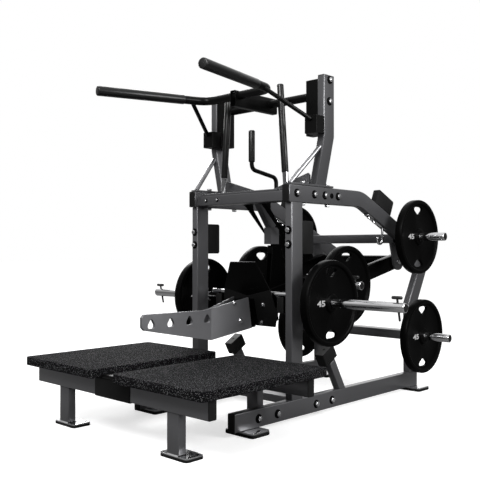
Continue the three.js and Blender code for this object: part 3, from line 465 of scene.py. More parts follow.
# Each look: its material, from base and scuffed tone, roughness and its spread, and its slot
looks = {
    "greyPaint": (finish("grey_powder_coat", grey(0.108, 0.113), grey(0.18), 0.32, 0.05, 0.6, 0.15,
                         cloud=0.10, scuff=0.12, grain=1500, bump=0.05), "grey_paint"),
    "silverPaint": (finish("silver_coat", grey(0.225, 0.235), grey(0.45), 0.36, 0.06, 0.75, 0.1,
                           cloud=0.10, grain=1500, bump=0.05), "grey_paint"),
    "armBlack": (finish("arm_black_coat", grey(0.0012), grey(0.005), 0.2, 0.04, specular=0.04, scuff=0.1,
                        grain=1500, bump=0.05), "black_paint"),
    # Painted light: a lighter black for the lower half of the hood's front plate, which is the same black as
    # the arm
    "hoodLitBlack": (finish("hood_lit_black_coat", grey(0.004), grey(0.01), 0.4, 0.06, specular=0.1, scuff=0.1,
                          grain=1500, bump=0.05), "black_paint"),
    "satinSteel": (finish("satin_steel", grey(0.6, 0.61), grey(0.45), 0.2, 0.05, 1.0, cloud=0.08),
                   "grey_paint"),
    "staySteel": (finish("stay_steel", grey(0.33, 0.34), grey(0.3), 0.3, 0.05, 0.9, cloud=0.08),
                  "grey_paint"),
    # Painted light: a lighter rubber for the bumpers' tops where light falls on them, with real scuffs mixed
    # in
    "bumperLitTop": (finish("worn_and_lit_rubber_top", grey(0.05), grey(0.09), 0.55, 0.08, specular=0.25, scuff=0.3,
                         grain=500, bump=0.2), "rubber"),
    "blackPaint": (finish("black_powder_coat", grey(0.0025), grey(0.012), 0.32, 0.06, specular=0.12,
                          grain=1500, bump=0.06), "black_paint"),
    "pinBlack": (finish("blackened_pin_steel", grey(0.02), grey(0.08), 0.35, 0.05, 0.3, cloud=0.1,
                        scuff=0.2), "chrome"),
    "chrome": (finish("polished_chrome", grey(0.66, 0.67), grey(0.5), 0.09, 0.03, 1.0, cloud=0.04,
                      scuff=0.10, bump=0.004), "chrome"),
    "steel": (finish("bright_zinc", grey(0.62, 0.63), grey(0.4), 0.25, 0.06, 1.0, cloud=0.08, scuff=0.2),
              "bright_steel"),
    "gripRubber": (finish("grip_rubber", grey(0.004), grey(0.018), 0.31, 0.06, specular=0.36, scuff=0.25,
                          grain=700, bump=0.25, bumpDistance=0.0006), "rubber"),
    "blockRubber": (finish("block_rubber", grey(0.009), grey(0.03), 0.6, 0.08, specular=0.1, scuff=0.3,
                           grain=500, bump=0.2, bumpDistance=0.0008), "rubber"),
    "plastic": (finish("moulded_plastic", grey(0.006), grey(0.02), 0.42, 0.06, specular=0.2, cloud=0.15,
                       scuff=0.2, bump=0.15), "rubber"),
    "plateBlack": (finish("plate_urethane", grey(0.0012), grey(0.008), 0.36, 0.08, specular=0.035,
                          cloud=0.3, scuff=0.3, grain=600, bump=0.15, bumpDistance=0.0005), "weight_plate"),
    # Black for rubber washers and plugs, and painted shade for the bolt holes in the platform's feet
    "washerBlackAndHoleShade": (finish("washer_rubber_and_hole_shade", grey(0.0015), grey(0.005), 0.6, 0.05, specular=0.03,
                           cloud=0.1, scuff=0.1), "rubber"),
    "numberPaint": (finish("number_paint", grey(0.38), grey(0.4), 0.55, 0.05, cloud=0.06, scuff=0.2),
                    "weight_plate"),
    "crumb": (crumbRubber("crumb_rubber"), "deck_rubber"),
}
print("materials made:", len(looks))

# Camera
camera = {"lens": 53.3, "film": 36, "place": (2698.9, -2808.3, 887.4), "yaw": 43.75, "pitch": 0.72}
lens = bpy.data.cameras.new("camera")
lens.lens = camera["lens"]
lens.sensor_width = camera["film"]
eye = shown("camera", lens)
eye.location = place(camera["place"])
eye.rotation_euler = (radians(90 + camera["pitch"]), 0, radians(camera["yaw"]))
bpy.context.scene.camera = eye
bpy.context.scene.view_settings.view_transform = "Standard"

# A paper floor that the camera sees bright and that throws back little light
paper = {"bounce": 0.14, "rough": 0.9, "seen": 0.62, "glow": 0.62, "reach": 40.0, "height": -0.0005}
floorMesh = bpy.data.meshes.new("studio_floor")
floorMesh.from_pydata([(x * paper["reach"], y * paper["reach"], paper["height"])
                       for x, y in ((-1, -1), (1, -1), (1, 1), (-1, 1))], [], [(0, 1, 2, 3)])
floorLook, tree, bounce = newMaterial("floor_paper", {"Base Color": grey(paper["bounce"]),
                                                      "Roughness": paper["rough"]})
seen = addNode(tree, "BsdfDiffuse", {"Color": grey(paper["seen"])})
glow = addNode(tree, "Emission", {"Strength": paper["glow"]})
lit = addNode(tree, "AddShader")
ray = addNode(tree, "LightPath")
either = addNode(tree, "MixShader")
wire(tree, (seen, 0, lit, 0), (glow, 0, lit, 1), (ray, "Is Camera Ray", either, 0), (bounce, 0, either, 1),
     (lit, 0, either, 2), (either, 0, tree.nodes["Material Output"], "Surface"))
floorMesh.materials.append(floorLook)
floor = shown("studio_floor", floorMesh)

# A dim room with a bright ceiling, so that polished parts keep dark bands
room = {"below": 0.25, "between": ((0.52, 0.12), (0.72, 0.55)), "above": 1.0}
world = bpy.data.worlds.new("studio")
bpy.context.scene.world = world
world.use_nodes = True
tree = world.node_tree
way = addNode(tree, "TexCoord")
parts = addNode(tree, "SeparateXYZ")
lift = addNode(tree, "MapRange", {"From Min": -1.0})
heights = addNode(tree, "ValToRGB")
tones = heights.color_ramp.elements
tones[0].color = grey(room["below"])
tones[1].color = grey(room["above"])
for height, tone in room["between"]:
    tones.new(height).color = grey(tone)

# A bright wall stands behind the machine, low down, and lights faces seen at a flat angle
wall = {"way": (-0.69, 0.72, 0.08), "from": 0.75, "to": 0.92, "bright": 1.1, "horizon": 0.02}
turn = addNode(tree, "VectorMath", {1: wall["way"]}, operation="DOT_PRODUCT")
inWall = addNode(tree, "MapRange", {"From Min": wall["from"], "From Max": wall["to"],
                                    "To Max": wall["bright"]})
aboveFloor = addNode(tree, "MapRange", {"From Min": -wall["horizon"], "From Max": wall["horizon"]})
wallLight = addNode(tree, "Math", operation="MULTIPLY")
lit = addNode(tree, "Mix", {"Factor": 1.0}, data_type="RGBA", blend_type="ADD")
backdrop = addNode(tree, "Background", {"Color": grey(1)})
ray = addNode(tree, "LightPath")
either = addNode(tree, "MixShader")
wire(tree, (way, "Generated", parts, 0), (parts, "Z", lift, "Value"), (lift, "Result", heights, "Fac"),
     (way, "Generated", turn, 0), (turn, "Value", inWall, "Value"), (parts, "Z", aboveFloor, "Value"),
     (inWall, "Result", wallLight, 0), (aboveFloor, "Result", wallLight, 1), (heights, "Color", lit, "A"),
     (wallLight, 0, lit, "B"), (lit, "Result", tree.nodes["Background"], "Color"),
     (ray, "Is Camera Ray", either, 0), (tree.nodes["Background"], 0, either, 1), (backdrop, 0, either, 2),
     (either, 0, tree.nodes["World Output"], "Surface"))

lamps = {
    "key": {"at": (1.2, -3.6, 3.4), "aim": (0, 0, 0.8), "size": 1.8, "power": 190},
    "side": {"at": (4.2, 0.6, 2.4), "aim": (0.2, 0.2, 0.9), "size": 1.8, "power": 150},
    "rim": {"at": (-3.4, 1.6, 3.0), "aim": (0, 0, 1.0), "size": 1.6, "power": 75},
}
for name, lamp in lamps.items():
    light = bpy.data.lights.new(name, "AREA")
    light.size = lamp["size"]
    light.energy = lamp["power"]
    stand = shown(name, light)
    stand.location = lamp["at"]
    stand.rotation_euler = (Vector(lamp["aim"]) - Vector(lamp["at"])).to_track_quat("-Z", "Y").to_euler()
print("camera, floor and lights ready")

# Side frames
side = {"inner": 332, "outer": 377, "mid": 354.5, "tall": 90,
        "railFront": -417, "railRear": 1243, "railLow": 23, "railTop": 113,
        "uprightDeep": 90, "topFront": -19, "topLow": 1130, "topHigh": 1220,
        "bendY": 590, "bendInner": 172, "slope": radians(24), "slopeRun": 806,
        "rearY": 1152, "rearBendZ": 535, "rearLean": radians(30),
        "footWide": 185, "footLong": 128, "footFront": -372, "footRear": 1150, "footSteel": 8,
        "footCorner": 18, "padProud": 1, "padEdge": 2, "postEdge": 5}
side["bendZ"] = side["topHigh"] - side["bendInner"] - side["tall"]


# Along the slope from the end of the bend, and up from the underside of the side tube
def onSlope(along, up):
    return leaning(-side["slope"], side["bendY"], side["bendZ"], along, side["bendInner"] + up)


# The side tube's front end, an arc over the bend, the slope's end, and an inner arc back
def topTubeOutline():
    t = np.linspace(0, side["slope"], 15)
    over, under = [np.stack([side["bendY"] + radius * np.sin(t), side["bendZ"] + radius * np.cos(t)], 1)
                   for radius in (side["bendInner"] + side["tall"], side["bendInner"])]
    return np.concatenate([[[side["topFront"], side["topHigh"]]], over,
                           [onSlope(side["slopeRun"], side["tall"]), onSlope(side["slopeRun"], 0)],
                           under[::-1], [[side["topFront"], side["topLow"]]]])


# An upright foot, and a head that leans to where it meets the underside of the slope
def rearUprightOutline():
    rise = side["tall"] / 2 * tan(side["rearLean"] / 2)
    front = (side["rearY"], side["rearBendZ"] + rise)
    back = (side["rearY"] + side["uprightDeep"], side["rearBendZ"] - rise)
    seatY, seatZ = onSlope(0, -gap)
    lean, fall = tan(side["rearLean"]), tan(side["slope"])

    def head(point):  # up along the lean until the falling line of the slope is met
        up = (seatZ - point[1] - fall * (point[0] - seatY)) / (1 + fall * lean)
        return point[0] + up * lean, point[1] + up
    foot = side["railTop"] + gap
    return [(front[0], foot), (back[0], foot), back, head(back), head(front), front]


bumper = {"x": 345, "y": 312, "z": 338, "wide": 58, "long": 108, "thick": 75, "post": 50,
          "edge": 3, "inSteel": 2, "skinInset": 2.5, "skin": 1.6, "hole": 8}
bumperAngle = atan2(layout["pivotZ"] - bumper["z"], layout["pivotY"] - bumper["y"])


# Along the bumper's top from its middle, and up from it, turned by its angle to face the pivot
def onBumper(along, up):
    return leaning(bumperAngle, bumper["y"], bumper["z"], along, up)


# Two edges from the underside of the bumper, square to it, down to just inside the rail
def bumperPostOutline():
    low = side["railTop"] - bumper["inSteel"]
    heads, feet = [], []
    for edge in (-bumper["post"] / 2, bumper["post"] / 2):
        y, z = onBumper(edge, -bumper["thick"] - gap)
        heads.append((y, z))
        feet.append((y + (z - low) / cos(bumperAngle) * sin(bumperAngle), low))
    return feet + heads[::-1]


# Painted light: the skin's lighter grey stands for light falling on the bumper's top, with real scuffs mixed
# in
# A thin skin on the bumper's top, from its outline to a round hole, both cut by the same rays
def bumperLitTop(sign):
    half = np.array([bumper["long"], bumper["wide"]]) / 2 - bumper["skinInset"]
    ray = np.stack(wheel(72), 1)
    edge = ray * np.min(half / np.maximum(abs(ray), 1e-6), 1)[:, None]
    hole = ray * bumper["hole"]
    loops = []
    for outline, up in ((edge, 0.1), (edge, bumper["skin"]), (hole, bumper["skin"]), (hole, 0.1)):
        y, z = onBumper(outline[:, 0], up)
        loops.append(np.stack([sign * bumper["x"] + outline[:, 1], y, z], 1))
    return ringLoft(np.stack(loops))


bolt = {"washer": 22, "washerTall": 2.6, "hexHalf": 12, "headTall": 11, "edge": 1.4}


# Washers and hexagon heads with a low dome, each spot a centre and the way that its head faces
def bolts(spots, washer=bolt["washer"], hexHalf=bolt["hexHalf"], headTall=bolt["headTall"]):
    tall = bolt["washerTall"]
    top = tall + headTall
    disc = [(washer - 0.8, 0), (washer, 0.5), (washer, tall - 0.6), (washer - 1.2, tall), (5, tall)]
    hexagon = np.stack(wheel(6), 1) * hexHalf / cos(pi / 6)
    dome = [(hexHalf * 0.78, top - 0.4), (hexHalf * 0.6, top + 0.5), (hexHalf * 0.3, top + 0.9),
            (0.4, top + 1)]
    discs, tops = [], []
    for centre, way in spots:
        discs.append(turned(disc, centre, way, 36))
        points, faces = slab(hexagon, tall - 0.2, top, bolt["edge"])
        tops.append((np.asarray(centre, float) + points @ np.stack(crossAxes(way)), faces))
        tops.append(turned(dome, centre, way, 24))
    return discs, tops


washers, heads, plugs = [], [], []


# Bolts of the frame, kept until all of them are known
def fixWith(spots, **sizes):
    discs, tops = bolts(spots, **sizes)
    washers.extend(discs)
    heads.extend(tops)


# Horns for weight plates: the lip is how far the end is drawn in, the cap gives its two radii
horn = {"radius": 24.5, "collar": 39, "collarThick": 12, "plate": 45}
hornKinds = {
    "storage": {"entry": 3.0, "lip": (1.2, 4.0, 5.5), "bore": 24.5, "edge": 1.5, "cap": (18.9, 17.5)},
    "arm": {"entry": 1.0, "lip": (1.1, 3.5, 5.1), "bore": 24.6, "edge": 1.0, "cap": (19.5, 18.0)}}


# Tube, collar and end cap, each a profile of radius and distance out, turned about the horn's middle
def hornParts(kind, sign, centre, start, end, collarFrom, seat):
    bore, edge, cap = kind["bore"], kind["edge"], kind["cap"]
    radius, ring = horn["radius"], horn["collar"]
    lip = [radius - by for by in kind["lip"]]
    tube = [(radius - kind["entry"], start), (radius, start + 1), (radius, end - 4), (lip[0], end - 1.2),
            (lip[1], end), (lip[2], end - 0.4)]
    collar = [(bore, collarFrom), (ring - edge, collarFrom), (ring, collarFrom + edge), (ring, seat - edge),
              (ring - edge, seat), (bore, seat)]
    crown = [(cap[0], end - 2), (cap[0], end + 0.4), (cap[1], end + 1.2), (1, end + 1.8)]
    way = (sign, 0, 0)
    return turned(tube, centre, way), turned(collar, centre, way, 48, True), turned(crown, centre, way, 40)


storage = {"upper": (1080, 961), "lower": (1132, 352), "end": 664, "face": 500, "flangeHalf": 42,
           "flangeThick": 8, "flangeCorner": 7, "lowerReach": 60}


# A horn on a flange with a weld bead round it; the flange reaches further back where asked
def storageHorn(sign, spot, reach=0):
    seat = storage["face"] - horn["plate"] - gap
    start = side["outer"] + storage["flangeThick"] - 0.5
    centre = (0, *spot)
    sleeve, collar, cap = hornParts(hornKinds["storage"], sign, centre, start, storage["end"],
                                    seat - horn["collarThick"], seat)
    (y, z), half, radius = spot, storage["flangeHalf"], horn["radius"]
    flange = thinPlate(rect((y - half, y + half + reach), (z - half, z + half), storage["flangeCorner"]),
                       spanOf(sign, side["outer"], side["outer"] + storage["flangeThick"]))
    bead = [(radius + 0.1, start), (radius + 5, start), (radius + 3, start + 2.4), (radius + 0.1, start + 5)]
    return [sleeve], [collar, flange, turned(bead, centre, (sign, 0, 0), 40, True)], [cap]


frameBolts = {"topY": (42, 189, 281, 400), "topZ": 1177, "plugY": 342, "railY": (-252, -112, 202, 341),
              "railInnerY": (202, 341), "railZ": 66, "uprightZ": (985, 911),
              "plug": [(1, 0), (15, 0), (15, 1), (14.2, 2.2), (10, 3.2), (1, 3.4)]}
stop = {"wide": 41, "edge": 3, "low": 90.3, "high": 183.3, "near": 95, "far": 269, "chamfer": 8,
        "upright": [(90.3, 860), (175, 860), (183.3, 868), (183.3, 1026), (175, 1034), (90.3, 1034)]}

for name, sign in sideSigns.items():
    x = spanOf(sign, side["inner"], side["outer"])
    mid = sign * side["mid"]
    railZ, topZ = (side["railLow"], side["railTop"]), (side["topLow"], side["topHigh"])
    rail = tubeBar("y", (side["railFront"], side["railRear"]), x, railZ)
    post = slab(bumperPostOutline(), *x, side["postEdge"], 5, "x")  # welded to the rail
    feet, pads = [], []
    for y in (side["footFront"], side["footRear"]):
        wide = (mid - side["footWide"] / 2, mid + side["footWide"] / 2)
        foot = rect(wide, (y, y + side["footLong"]), side["footCorner"], 6)
        under = side["railLow"] - side["footSteel"]
        feet.append(slab(foot, under, side["railLow"], 0.8))
        pads.append(slab(inset(foot, -side["padProud"]), 0, under - 0.1, side["padEdge"]))
    piece(name + "_rail_tube", [rail, post], "greyPaint", [name + "_base_rail"])
    piece(name + "_rail_foot_plates", feet, "satinSteel")
    piece(name + "_rail_foot_rubber", pads, "blockRubber")
    upright = tubeBar("z", (side["railTop"] + gap, side["topLow"] - gap), x, (0, side["uprightDeep"]))
    piece(name + "_front_upright_tube", [upright], "greyPaint", [name + "_front_upright"])
    sleeve, collar, cap = storageHorn(sign, storage["upper"])
    lowSleeve, lowCollar, lowCap = storageHorn(sign, storage["lower"], storage["lowerReach"])
    piece(name + "_side_tube", [cutTube(topTubeOutline(), x), *collar], "greyPaint", [name + "_top_tube"])
    piece(name + "_rear_upright_tube", [cutTube(rearUprightOutline(), x), *lowCollar], "greyPaint",
          [name + "_rear_upright"])
    piece(name + "_storage_horn_chrome", sleeve + lowSleeve, "chrome")
    run, tall = side["slopeRun"], side["tall"]
    slopeEnd = [onSlope(run, 1), onSlope(run + 4, 1), onSlope(run + 4, tall - 1), onSlope(run, tall - 1)]
    caps = [endCap("y", side["topFront"], -1, x, topZ), endCap("y", side["railFront"], -1, x, railZ),
            endCap("y", side["railRear"], 1, x, railZ), thinPlate(slopeEnd, (x[0] + 1, x[1] - 1))]
    piece(name + "_frame_caps", caps + cap + lowCap, "plastic")
    long, deep = bumper["long"] / 2, -bumper["thick"]
    outline = [onBumper(-long, deep), onBumper(long, deep), onBumper(long, 0), onBumper(-long, 0)]
    piece(name + "_bumper_block", [softSlab(outline, sign * bumper["x"], bumper["wide"], bumper["edge"])],
          "blockRubber", [name + "_bumper"])
    # The top skin carries the painted light on the bumper's top face
    piece(name + "_bumper_lit_top", [bumperLitTop(sign)], "bumperLitTop")
    outer, inner = side["outer"] * sign, side["inner"] * sign
    outwards, inwards = (sign, 0, 0), (-sign, 0, 0)
    for y in frameBolts["topY"]:
        fixWith([((outer, y, frameBolts["topZ"]), outwards), ((inner, y, frameBolts["topZ"]), inwards)])
    plugs.append(turned(frameBolts["plug"], (outer, frameBolts["plugY"], frameBolts["topZ"]), outwards, 36))
    fixWith([((outer, y, frameBolts["railZ"]), outwards) for y in frameBolts["railY"]])
    fixWith([((inner, y, frameBolts["railZ"]), inwards) for y in frameBolts["railInnerY"]])
    fixWith([((mid, 0, z), (0, -1, 0)) for z in frameBolts["uprightZ"]])
    low, high, near, far, cut = [stop[key] for key in ("low", "high", "near", "far", "chamfer")]
    sloped = [onSlope(near, low), onSlope(far, low), onSlope(far, high - cut), onSlope(far - cut, high),
              onSlope(near + cut, high), onSlope(near, high - cut)]
    for kind, outline in (("upright", stop["upright"]), ("slope", sloped)):
        piece(name + "_" + kind + "_stop_block", [softSlab(outline, mid, stop["wide"], stop["edge"])],
              "blockRubber", [name + "_" + kind + "_stop"])
print("side frames built")

# Cross members, the lever's ears and the vertical grips
cross = {"reach": 331.7, "frontZ": 1136, "tall": 56, "deep": 90, "shelfTop": 1202, "shelfRear": 145,
         "shelfHalf": 277, "inSteel": 1.5, "boltX": (-259, -169), "boltZ": 1164}
ear = {"x": (62, 70), "outline": [(88.8, 1136), (118, 1136), (287, 976), (302, 976), (188, 1112),
                                      (188, 1186), (88.8, 1186)]}
tubeTop = cross["frontZ"] + cross["tall"]
piece("front_crossbar_tube", [
    tubeBar("x", (-cross["reach"], cross["reach"]), (0, cross["deep"]), (cross["frontZ"], tubeTop)),
    block((-cross["shelfHalf"], cross["shelfHalf"]), (0.5, cross["shelfRear"]),
          (tubeTop - cross["inSteel"], cross["shelfTop"]), 2.0)], "greyPaint", ["front_crossbar"])
piece("lever_ears", [thinPlate(ear["outline"], spanOf(sign, *ear["x"])) for sign in (-1, 1)], "armBlack")
for node in ("rear_upper_crossbar", "rear_lower_crossbar", "base_crossmember", "vee_crossmember"):
    refined(node, "greyPaint", edge=1.0)
grip = {"foot": (239, 121, 1200.5), "head": (196, 121, 1778), "dia": 32, "rubberZ": 1300,
        "rubberDia": 38, "collar": [(16.2, 0), (21, 0), (19.5, 3), (16.2, 6)]}
shafts = []
share = (grip["rubberZ"] - cross["shelfTop"]) / (grip["head"][2] - cross["shelfTop"])
for name, sign in sideSigns.items():
    foot, head = onSide(sign, grip["foot"]), onSide(sign, grip["head"])
    way = unit(head - foot)
    shafts.append(roundBar([foot, head - way * 2], grip["dia"], plane=(0, 1, 0)))
    piece(name + "_vertical_grip_rubber", [roundBar([foot + (head - foot) * share, head + way * 3],
                                                    grip["rubberDia"], edge=6, count=40, plane=(0, 1, 0))],
          "gripRubber", [name + "_vertical_grip"])
    shafts.append(turned(grip["collar"], foot + way * 1.4, way, 40, True))
piece("vertical_grip_shafts", shafts, "chrome")
fixWith([((x, 0, cross["boltZ"]), (0, -1, 0)) for x in cross["boltX"]], washer=11, hexHalf=7, headTall=5)
print("cross members built")

# Handle posts and overhead handles
post = {"x": 430, "wide": 45, "lean": 55, "foot": 1230, "bendZ": 1486, "topZ": 1812.5,
        "y": (205, 295), "plateX": (330.5, 378.5), "plateY": (-6, 357), "plateLow": 1220.4,
        "stayDia": 25, "stayFoot": (12.5, 1229), "stayHead": (206, 1432), "stayMeets": 1455,
        "bolts": ((254, 1789), (250, 1674)), "footBolts": ((1230, 1), (1130, -1)), "footBoltY": (118, 330)}
for name, sign in sideSigns.items():
    line = [(post["x"] - post["lean"], post["foot"]), (post["x"], post["bendZ"]), (post["x"], post["topZ"])]
    outline = line + [(x - post["wide"], z) for x, z in line[::-1]]
    pole = cutTube([(sign * x, z) for x, z in outline], post["y"], "y")
    plate = block(spanOf(sign, *post["plateX"]), post["plateY"], (post["plateLow"], post["foot"] + 0.5))
    piece(name + "_handle_post_tube", [pole, plate], "greyPaint", [name + "_handle_post"])
    bent = post["lean"] * (post["bendZ"] - post["stayMeets"]) / (post["bendZ"] - post["foot"])
    stay = [(sign * side["mid"], *post["stayFoot"]),
            (sign * (post["x"] - bent - post["wide"] / 2), *post["stayHead"])]
    piece(name + "_handle_stay", [roundBar(stay, post["stayDia"], edge=0.5)], "staySteel")
    capX = spanOf(sign, post["x"] - post["wide"] + 0.5, post["x"] - 0.5)
    cap = slab(rect(capX, (post["y"][0] + 0.5, post["y"][1] - 0.5), 5.5, 5), post["topZ"] - 1,
               post["topZ"] + 1.5, 0.8)
    piece(name + "_handle_post_cap", [cap], "plastic")
    fixWith([((sign * post["x"], *spot), (sign, 0, 0)) for spot in post["bolts"]])
    for z, way in post["footBolts"]:
        fixWith([((sign * side["mid"], y, z), (0, 0, way)) for y in post["footBoltY"]], washer=15)
    refined(name + "_handle_bracket", "blackPaint", edge=1.5)

handle = {"dia": 46, "gripDia": 52, "bendAt": (238, -10, 1727), "endAt": (401, -646, 1714),
          "bend": 70, "gripGap": 150, "braceDia": 23, "braceShare": 100 / 636,
          "braceFoot": (390, 138, 1571)}
path = [onSide(-1, handle["endAt"]), onSide(-1, handle["bendAt"]), onSide(1, handle["bendAt"]),
        onSide(1, handle["endAt"])]
level = unit(np.cross(path[1] - path[0], path[2] - path[1]))
bars = [roundBar(path, handle["dia"], handle["bend"], 1.5, 40, level)]
for name, sign in sideSigns.items():
    bend, end = onSide(sign, handle["bendAt"]), onSide(sign, handle["endAt"])
    way = unit(end - bend)
    rubber = roundBar([bend + way * handle["gripGap"], end + way * 3], handle["gripDia"], edge=5, count=48)
    piece(name + "_overhead_grip_rubber", [rubber], "gripRubber", [name + "_overhead_grip"])
    brace = [bend + (end - bend) * handle["braceShare"], onSide(sign, handle["braceFoot"])]
    bars.append(roundBar(brace, handle["braceDia"], edge=0.5))
piece("overhead_handle_tube", bars, "blackPaint", ["overhead_handle_bar"])
refined("handle_spine", "blackPaint", edge=1.5)
print("handles built")

# Belt hooks and the pivot shaft
hook = {"from": 55, "long": 205, "wide": 32, "thick": 6, "dia": 14, "drop": 68, "bend": 27, "tip": 40,
        "bolts": (85, 145)}
for name, sign in sideSigns.items():
    x = sign * side["mid"]
    low = -gap - hook["thick"]
    end = hook["from"] + hook["long"]
    outline = [onSlope(along, up) for along, up in
               ((hook["from"], low), (end, low), (end, -gap), (hook["from"], -gap))]
    strap = softSlab(outline, x, hook["wide"], 1.5)
    y, z = onSlope(end - hook["wide"] / 2, low + hook["thick"] / 2)
    tipY, bottom = y - 2 * hook["bend"], z - hook["drop"] - hook["bend"]
    rod = roundBar([(x, y, z), (x, y, bottom), (x, tipY, bottom), (x, tipY, bottom + hook["tip"])],
                   hook["dia"], hook["bend"], 3.0, 24, (1, 0, 0))
    piece(name + "_belt_hook_chrome", [strap, rod], "chrome", [name + "_belt_hook"])
    way = (0, -sin(side["slope"]), -cos(side["slope"]))
    fixWith([((x, *onSlope(along, low)), way) for along in hook["bolts"]], washer=11, hexHalf=7, headTall=6)
shaft = {"profile": [(17, -326), (19, -324), (19, 324), (17, 326)]}
piece("pivot_shaft_bar", [turned(shaft["profile"], (0, layout["pivotY"], layout["pivotZ"]), (1, 0, 0))],
      "steel", ["pivot_shaft"])

# Platform
deck = {"half": 672, "inner": 76, "y": (-904, -88), "top": 328, "thick": 43, "corner": 26,
        "edge": 4}
for name, sign in sideSigns.items():
    outline = rect(spanOf(sign, deck["inner"], deck["half"]), deck["y"], deck["corner"], 8)
    mat = slab(outline, deck["top"] - deck["thick"], deck["top"], deck["edge"], 4)
    piece(name + "_deck_mat", [mat], "crumb", [name + "_deck"])
beam = {"top": 284.7, "low": 196.7, "frontY": (-841, -796), "rearY": (-203, -158), "end": 639,
        "joiner": (-133, 133), "wall": 4, "corner": 7,
        "filler": (-74, 74), "fillerTall": 16}
leg = {"x": 415, "half": 38, "y": (-834.5, -789.5), "low": 17, "footHalf": 88, "footY": (-835, -731),
       "footCorner": 20, "padProud": 0.6,
       "steel": (12, 18), "middleY": -812, "halfDeep": 22.5, "bead": 5, "hole": (64, -748),
       "holeShape": [(1, 0.1), (1, 0.5), (6.4, 0.5), (7, 0.1)]}


# A bead of triangular section run round the foot of a leg
def legWeld(x):
    loops = []
    for by, up in ((0, 0), (leg["bead"], 0), (0, leg["bead"])):
        wide, deep = leg["half"] + by, leg["halfDeep"] + by
        outline = rect((x - wide, x + wide), (leg["middleY"] - deep, leg["middleY"] + deep), 6)
        loops.append(standing(outline[None], [leg["steel"][1] + up], "z")[0])
    return ringLoft(np.stack(loops))


beamZ = (beam["low"], beam["top"])
beams = [tubeBar("x", (-beam["end"], beam["end"]), beam["frontY"], beamZ)]
pads, plates, boltHoles = [], [], []
for sign in (-1, 1):
    x = sign * leg["x"]
    beams.append(tubeBar("z", (leg["low"], beam["low"] + 1.5), (x - leg["half"], x + leg["half"]), leg["y"]))
    foot = rect((x - leg["footHalf"], x + leg["footHalf"]), leg["footY"], leg["footCorner"], 6)
    plates.append(slab(foot, *leg["steel"], 0.8))
    plates.append(legWeld(x))
    pads.append(slab(inset(foot, -leg["padProud"]), 0, leg["steel"][0] - 0.1, side["padEdge"]))
    # Each bolt hole is a flat black disc on the foot plate: painted shade inside the hole, over the black
    # rubber pad beneath
    holeX, holeY = leg["hole"]
    boltHoles.append(turned(leg["holeShape"], (x + holeX, holeY, leg["steel"][1]), (0, 0, 1), 24))
piece("platform_front_beam_tube", beams, "greyPaint", ["front_platform_beam"])
piece("platform_foot_plates", plates, "satinSteel")
piece("platform_foot_bolt_holes", boltHoles, "washerBlackAndHoleShade")
piece("platform_foot_rubber", pads, "blockRubber")
around = (beam["frontY"][0] - beam["wall"], beam["frontY"][1] + beam["wall"])
sleeve = thinPlate(rect(around, (beam["low"] - beam["wall"], beam["top"]), beam["corner"], 5), beam["joiner"])
filler = block(beam["filler"], around, (beam["top"] - 1, beam["top"] + beam["fillerTall"]), 2.0)
piece("platform_joining_sleeve", [sleeve, filler], "blackPaint")
piece("platform_end_caps", [endCap("x", sign * beam["end"], sign, y, beamZ) for sign in (-1, 1)
                            for y in (beam["frontY"], beam["rearY"])], "plastic")
for name in sideSigns:
    refined(name + "_rear_platform_beam", "greyPaint", edge=1.0)
print("platform built")

# Arm
for node in ("arm_rails", "arm_cross_tube", "arm_spine"):
    refined(node, "armBlack", "arm")
belt = {"spread": 48.8, "wasFrom": -337, "wasTo": -216, "from": -212, "to": 50, "rearTop": 624,
        "rearLow": 456, "topBack": 33, "lowBack": 6, "bolts": ((-72, 596), (-30, 500)), "boltX": 8.6}


# The plates part behind the last hole, in one straight run to the boom's sides, and end square to the arm
def easeBelt(points):
    x, y, z = points.T
    was = np.clip((y - belt["wasFrom"]) / (belt["wasTo"] - belt["wasFrom"]), 0, 1)
    now = np.clip((y - belt["from"]) / (belt["to"] - belt["from"]), 0, 1)
    up = (z - belt["rearLow"]) / (belt["rearTop"] - belt["rearLow"])
    back = belt["lowBack"] + (belt["topBack"] - belt["lowBack"]) * up
    eased = x + (now - was) * belt["spread"] * np.where(x > 0, 1, -1)
    return np.stack([eased, np.where(y > belt["to"] - 1, y - back, y), z], 1)


nose = {"y": np.array([-196.0, -60.0, 30.0, 84.0]), "topY": (-263, 50), "topZ": (564, 621), "levelFrom": 10,
        "lowY": (-216, 50), "lowZ": (411, 459)}


# Rectangles that widen with the belt plates and lie 3 mm inside their top and bottom edges
def boomNose():
    y = nose["y"]
    half = belt["spread"] * np.clip((y - belt["from"]) / (belt["to"] - belt["from"]), 0, 1)
    top = np.interp(np.minimum(y, nose["levelFrom"]), nose["topY"], nose["topZ"])
    low = np.interp(y, nose["lowY"], nose["lowZ"])
    return loft(np.stack([np.stack([way * half, y, edge], 1)
                          for way, edge in ((-1, low), (1, low), (1, top), (-1, top))], 1))


for name in sideSigns:
    refined(name + "_belt_plate", "silverPaint", "arm", easeBelt)

